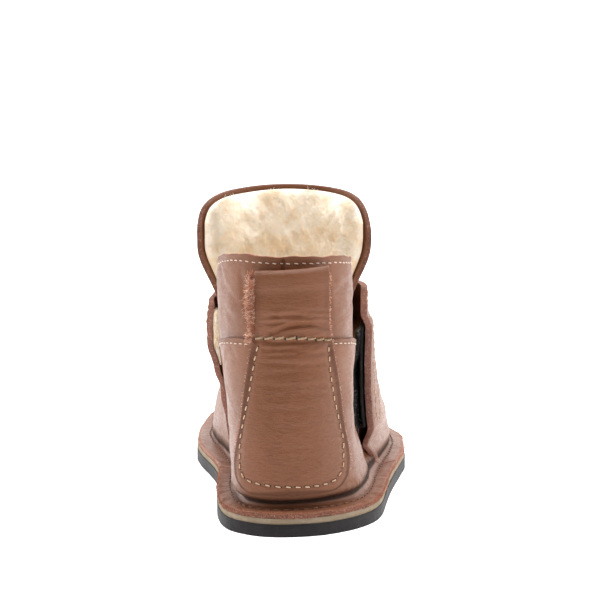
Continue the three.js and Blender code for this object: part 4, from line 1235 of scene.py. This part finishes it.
def with_outward(turn, z, out):
    """Points on the boot and their outward unit directions."""
    p = skin_at(turn, z, out)
    return p, unit(skin_at(turn, z, out + 0.5) - p)


def on_last(turns, heights, outside, samples=240):
    """Points and outward directions along a line on the boot; outside(turn, z) gives the face."""
    s = np.linspace(0, 1, samples)
    at = np.linspace(0, 1, len(turns))
    turn, z = curve(at, turns)(s), curve(at, heights)(s)
    return with_outward(turn, z, outside(turn, z))

# %% [markdown]
# ## All the rows
# The heel patch's row is charted on the patch, and the others follow an edge at a constant distance. The
# cross seam over the patch is sewn by hand with a thick thread of two plies.

# %% Rows of stitches
def on_patch(line, samples=400):
    line = np.array(line, float)
    run = np.append(0, np.cumsum(np.linalg.norm(np.diff(line, axis=0), axis=1)))
    s = np.linspace(0, run[-1], samples)
    x, z = curve(run, line[:, 0])(s), curve(run, line[:, 1])(s)
    out = seated + STRIP_LEATHER / 2 + strip_relief(x, z)
    return with_outward(turn_where(0, x, z, -80, 80, out), z, out)


# each row: its name, its line, then pitch, the share of the pitch that shows, and the thread's thickness
stitch_row("patch_stitches", *on_patch(PATCH_STITCH), 3.55, 0.56, 0.44, slant=0.12)
CROSS_STITCH = [(-15.9, 68.6), (-9, 69.0), (-2, 69.0), (5, 68.3), (11.0, 67.1)]
stitch_row("cross_seam_thick_thread", *on_patch(CROSS_STITCH, 200), 4.0, 0.92, 0.78,
           plies=2, lift=0.62, slant=-0.34)
for label, sign in (("inner", -1), ("outer", 1)):
    turns = np.linspace(24.5 if sign > 0 else 20, 100, 9) * sign
    line = on_last(turns, seam_at(turns) - 1.7, quarter_outside)
    stitch_row("quarter_stitches_" + label, *line, 2.9, 0.6, 0.34)
turns = np.linspace(-96, 96, 41)
line = on_last(turns, collar_top(turns) - 2.4, collar_outside)
stitch_row("collar_stitches", *line, 2.75, 0.60, 0.36, slant=0.1)


def vamp_outside(turn, z):
    return vamp_faces(turn, z, lateral_rear(z), medial_rear(z))[0]


def below_edge(start, end, drop):
    turns = np.linspace(start, end, 60)
    return turns, vamp_edge(turns) - drop


FLAP_THREAD, EDGE_THREAD = (2.9, 0.6, 0.28), (3.0, 0.62, 0.42)
down, foot = np.linspace(70, 31, 14), [28.0, 26.8, 28.0, 31.0]  # the row turns back under the tape
rear_row = [121, 116, *(lateral_rear(down) + 6.0), *(lateral_rear(foot) + [6.8, 9.0, 11.2, 12.0])]
line = on_last(rear_row, [76.4, 75.0, *down, *foot], vamp_outside, 500)
stitch_row("flap_stitches_rear", *line, *FLAP_THREAD, lift=0.3)
up = [31.0, 40.0, 54.0, 66.0]
line = on_last([*(lateral_rear(up) + 12.0), 123], [*up, 76.4], vamp_outside, 300)
stitch_row("flap_stitches_front", *line, *FLAP_THREAD, lift=0.3)
stitch_row("vamp_edge_stitches", *on_last(*below_edge(122, 240, 2.4), vamp_outside, 500), *EDGE_THREAD)
down = np.linspace(70, 26, 14)
line = on_last([240, *(medial_rear(down) - 3.2)], [71.4, *down], vamp_outside, 300)
stitch_row("wing_stitches", *line, *EDGE_THREAD)

rim_u = np.concatenate([np.full(120, 0.035), np.linspace(0.035, 0.965, 260), np.full(120, 0.965)])
rim_v = np.concatenate([np.linspace(0.42, 0.955, 120), np.full(260, 0.955), np.linspace(0.955, 0.42, 120)])
p = tongue_place(rim_u, rim_v, 1)
n = p - tongue_place(rim_u, rim_v, 0)
stitch_row("tongue_stitches", p, unit(n), *EDGE_THREAD)


def flange_line(start, end, spare, place, samples):
    """A line on the turned-out edge; the piece's own grid reaches past both ends by spare degrees."""
    u = (np.linspace(start, end, samples) - start + spare) / (end - start + 2 * spare)
    return place(u, np.full(samples, 0.20), 1), np.tile([0.0, 0.0, 1.0], (samples, 1))


WELT_THREAD = (3.4, 0.6, 0.5)
line = flange_line(medial_joint - 360, lateral_joint, 3.3, quarter_place, 900)
stitch_row("welt_stitches_heel", *line, *WELT_THREAD, lift=0.35)
line = flange_line(lateral_joint, medial_joint, 0.5, vamp_place, 1400)
stitch_row("welt_stitches_toe", *line, *WELT_THREAD, lift=0.35)

# %% [markdown]
# ## Holes of the stitches
# Each stitch begins and ends in a hole, drawn as a small flat dark disc round the thread: painted shade of the
# hole.

# %% Holes of the stitches
# each disc is painted shade, a dark mark where the hole's shadow lies
bm = bmesh.new()
for p, n, thick in all_holes:
    turned = Vector(n).to_track_quat("Z", "Y").to_matrix().to_4x4()
    turned.translation = Vector(p + 0.02 * n) * MM
    made = bmesh.ops.create_icosphere(bm, subdivisions=1, radius=1.0)["verts"]
    bmesh.ops.scale(bm, verts=made, vec=(0.85 * thick * MM, 0.85 * thick * MM, 0.22 * thick * MM))
    bmesh.ops.transform(bm, matrix=turned, verts=made)
holes = keep_object("stitch_holes", bm)
print("holes", len(all_holes))

# %% [markdown]
# ## Frayed edges
# The loop was cut roughly, so reddish suede fibres stand out along its edges; a few stick out of the
# turned-out edge round the sole too.

# %% Frayed fibres
def frayed(name, points, outward, count, length, thick, reach_out=0.0, spread=0.5):
    k = rng.integers(0, len(points), count)
    strong = np.linalg.norm(outward[k], axis=1)[:, None]
    lean = outward[k] + 0.6 * rng.normal(size=(count, 3))
    roots = points[k] + outward[k] * reach_out * rng.random((count, 1)) ** 2
    roots = roots + 0.3 * rng.normal(size=(count, 3)) * strong
    length_now = length * np.minimum(1, strong[:, 0])
    return pile(name, roots, lean, length_now, thick, 1.5, 4 if length > 1 else 3, spread)


lines, ways, weights = [], [], []
FRINGES = (  # which edge, from and to along the strip, how thick
    (0.0, 0.52, 0.75, 8), (0.0, 0.80, 0.97, 7), (1.0, 0.66, 0.76, 2), (1.0, 0.50, 0.66, 1),
    (0.0, 0.05, 0.50, 1), (1.0, 0.05, 0.50, 1),
)
for u_edge, low, high, weight in FRINGES:
    v = np.linspace(low, high, 90 * weight)
    u = np.full(len(v), u_edge)
    face = rng.random(len(v))[:, None]
    p = strip_place(u, v, 1) * face + strip_place(u, v, 0) * (1 - face)
    inner = strip_place(np.full(len(v), 0.5 * u_edge + 0.25), v, 1)
    lines.append(p)
    weights.append(np.full(len(v), 1.0 if weight > 6 else 0.30))
    ways.append(unit(p - inner) + [0, -0.4, 0])
fringe = np.vstack(lines), np.vstack(ways) * np.hstack(weights)[:, None]
loop_fray = frayed("loop_edge_fibres", *fringe, fibres(2600, 300), 1.35, 0.24, 1.9, 0.8)
# pale fringe fibres: partly the suede's own paler tips, partly painted highlight
loop_tips = frayed("loop_edge_worn_fibres", *fringe, fibres(1100, 100), 1.5, 0.26, 2.3, 0.8)

turns = np.linspace(0, 360, 1400)
r = edge_reach(turns) + edge_wave(turns)
p = polar(turns, r - 0.1, FLANGE_BOTTOM + FLANGE * (0.2 + 0.8 * rng.random(len(turns))))
p = lifted(p[:, 0], p[:, 1], p[:, 2])
way = np.column_stack([np.sin(np.radians(turns)), -np.cos(np.radians(turns)), 0.3 + 0 * turns])
edge_fray = frayed("flange_edge_fibres", p, way, fibres(2500, 300), 0.8, 0.17)

# %% [markdown]
# ## Leather, rubber, crepe and fleece
# The hide is cow leather, finished semi-matt: fine pebbled grain under 1 mm, darker in its pores, with drawn
# wrinkles. Its cut edge is raw, fibrous and redder. Each pattern's scale is in real millimetres.

# %% Helper: the five kinds of material
GRAIN, GLOSSY, DULL = 0.4, 0.31, 0.46


def leather(name, base, deep, pale, stretch=(1, 1, 2.6), wrinkle=0.45, edge_shade=0.22):
    """Pebbled cow leather: base colour, its colour in pores and in the painted shade near edges, and its worn
    colour.
    """
    material, tree = new_material(name)
    where = node(tree, "TexCoord").outputs["Object"]
    height = node(tree, "SeparateXYZ", i0=where).outputs[2]
    edge = node(tree, "Attribute", {"attribute_name": "edge"}).outputs["Fac"]
    deep = ink(deep)
    wide = node(tree, "Mapping", Vector=where, Scale=stretch).outputs[0]
    drawn = noise(tree, wide, 330.0, 5.0, 0.6, Distortion=0.4)
    cells = node(tree, "TexVoronoi", {"feature": "DISTANCE_TO_EDGE"}, Vector=where, Scale=1500.0)
    pores = ranged(tree, cells.outputs["Distance"], 0.0, 0.22, 0.0, 1.0)
    cloud = ranged(tree, noise(tree, where, 55.0), 0.35, 0.7, 0.0, 0.7)
    colour = mixed(tree, cloud, ink(base), ink(pale))
    colour = mixed(tree, ranged(tree, drawn, 0.30, 0.48, 0.22, 0.0), colour, deep)

    # painted shade along an edge, less of it above the cross seam
    below_seam = ranged(tree, height, 0.064, 0.068, 1.0, 0.25)
    near = maths(tree, "MULTIPLY", ranged(tree, edge, 1.6, 2.7, edge_shade, 0.0), below_seam)
    colour = mixed(tree, near, colour, deep)

    # the turned-out edge is roughed, so its nap shows
    on_flange = ranged(tree, height, 0.0100, 0.0112, 1.0, 0.0)
    roughed = maths(tree, "MULTIPLY", on_flange, ranged(tree, edge, 1.5, 5.0, 0.9, 0.15))
    nap = mixed(tree, noise(tree, where, 700.0, 4.0, 0.7), ink("#5c3625"), ink("#a06c52"))
    colour = mixed(tree, roughed, colour, nap)
    colour = mixed(tree, ranged(tree, pores, 0.0, 0.7, 0.12, 0.0), colour, deep)

    # painted shadow: near-black in the bend between wall and turned-out edge
    low = ranged(tree, height, 0.0094, 0.0100, 0.0, 1.0)
    high = ranged(tree, height, 0.0112, 0.0142, 1.0, 0.0)
    inner = ranged(tree, edge, 4.4, 5.8, 0.0, 0.9)
    painted_bend_shadow = maths(tree, "MULTIPLY", maths(tree, "MULTIPLY", low, high), inner)
    colour = mixed(tree, painted_bend_shadow, colour, ink("#1f0f08"))

    relief = maths(tree, "MULTIPLY_ADD", drawn, wrinkle * 5, maths(tree, "MULTIPLY", pores, GRAIN))
    matt = maths(tree, "MAXIMUM", near, painted_bend_shadow)
    gloss = maths(tree, "MULTIPLY_ADD", matt, 0.45, ranged(tree, drawn, 0.3, 0.7, DULL, GLOSSY))
    principled(tree, colour, gloss, relief, 0.38, Specular_IOR_Level=0.24)
    return material


def plain(name, base, rough):
    material, tree = new_material(name)
    fine = noise(tree, node(tree, "TexCoord").outputs["Object"], 1500.0)
    principled(tree, mixed(tree, fine, ink(base, 0.8), ink(base, 1.2)), rough)
    return material


def raw_edge(name, base, speck):
    """Cut edge of the hide: loose fibres, matt, with pale specks."""
    material, tree = new_material(name)
    where = node(tree, "TexCoord").outputs["Object"]
    fibres = noise(tree, where, 1600.0, 3.0, 0.7)
    dark = mixed(tree, noise(tree, where, 240.0), ink(base, 0.55), ink(base, 1.2))
    colour = mixed(tree, ranged(tree, fibres, 0.52, 0.72, 0.0, 0.8), dark, ink(speck))
    principled(tree, colour, 0.9, fibres, 0.9, 0.0004)
    return material


def wool(name, base, shade):
    """Sheep's wool, matt, cream, with a painted warm shade in random clumps and a faint painted glow in place of
    light passing through it.
    """
    material, tree = new_material(name)
    where = node(tree, "TexCoord").outputs["Object"]
    painted_shade_clumps = ranged(tree, noise(tree, where, 150.0, 3.0, 0.6), 0.42, 0.66, 0.0, 0.65)
    # painted light: the shade colour in random clumps is painted warm shade, and the emission is a painted glow
    principled(tree, mixed(tree, painted_shade_clumps, ink(base), ink(shade)), 0.85, noise(tree, where, 700.0, 4.0, 0.7), 0.9,
               0.0011, Specular_IOR_Level=0.2, Emission_Color=ink("#ffdcae"), Emission_Strength=0.12)
    return material


def rubber(name, base, pale, rough, grit):
    """Matt rubber with pale dust on it; grit is the scale of its fine grain."""
    material, tree = new_material(name)
    where = node(tree, "TexCoord").outputs["Object"]
    dust = ranged(tree, noise(tree, where, 260.0, 4.0, 0.65), 0.45, 0.75, 0.0, 0.6)
    principled(tree, mixed(tree, dust, ink(base), ink(pale)), rough, noise(tree, where, grit, 3.0, 0.7), 0.6,
               Specular_IOR_Level=0.25)
    return material

# %% [markdown]
# ## Which piece gets which material
# A sheet has two: one for its faces and one for its cut edge. The edges differ, because the vamp's, the
# collar's and the patch's were cut and rubbed differently.

# %% Materials
cognac = leather("cow_leather_cognac", "#70442b", "#3f2112", "#7b4e34")
patch_leather = leather("cow_leather_patch", "#6f442b", "#3c1f11", "#774a31", (1, 1, 4.0), 0.6, 0.6)
cut_edge = raw_edge("cut_leather_edge", "#6f4535", "#a98472")
fleece_wool = wool("sheep_wool", "#fff6e8", "#eed6b0")
pile_wool = wool("sheep_wool_tips", "#fffaf0", "#f6e6cb")
fray = plain("suede_fibres", "#a86a50", 0.9)
threads = {
    "welt": plain("dark_waxed_thread", "#7b5443", 0.6), "cros": plain("thick_waxed_thread", "#9d8364", 0.6),
    "coll": plain("pale_waxed_thread", "#d9c6b4", 0.6), "othe": plain("waxed_thread", "#c2a68a", 0.6),
}
threads["quar"] = threads["coll"]
sole_rubber = rubber("moulded_rubber", "#130f11", "#282025", 0.6, 1400.0)
crepe = rubber("beige_crepe", "#83735f", "#a39684", 0.85, 1100.0)
tape_weave = rubber("hook_and_loop_weave", "#1b1817", "#3a3431", 0.9, 1800.0)

for pieces, *materials in (
    ([quarter, tongue], cognac, cut_edge),
    ([collar], cognac, raw_edge("cut_collar_edge", "#a46a5a", "#ecccbb")),
    ([vamp], cognac, raw_edge("cut_vamp_edge", "#97685a", "#c4a294")),
    ([strip], patch_leather, raw_edge("patch_cut_edge", "#96604d", "#d3a893")),
    ([tongue_fleece, lining, insole, wing_strip], fleece_wool, fleece_wool),
    ([tongue_pile, tongue_fluff, lining_pile, insole_pile, wing_fluff], pile_wool),
    ([loop_fray, edge_fray], fray),
    # pale fringe fibres: partly their own paler colour, partly painted highlight
    ([loop_tips], plain("worn_suede_fibres", "#dcb59c", 0.9)),
    # dark hole discs: painted shade
    ([holes], plain("stitch_hole", "#2a1710", 0.9)),
    ([bristles], plain("black_bristles", "#15110f", 0.5)),
    # pale bristles: painted highlight
    ([glints], plain("worn_bristles", "#b9aea6", 0.5)),
    ([sole], sole_rubber, sole_rubber),
    ([midsole], crepe, crepe),
    ([hook, loop], tape_weave, tape_weave),
):
    for obj in pieces:
        paint(obj, *materials)
for obj in seams:
    paint(obj, threads.get(obj.name[:4], threads["othe"]))
print("materials", len(bpy.data.materials))

# %% [markdown]
# ## Finish
# The helper curve that gave the fibres their three-sided section is removed.

# %% Finish
bpy.data.objects.remove(three_sided)
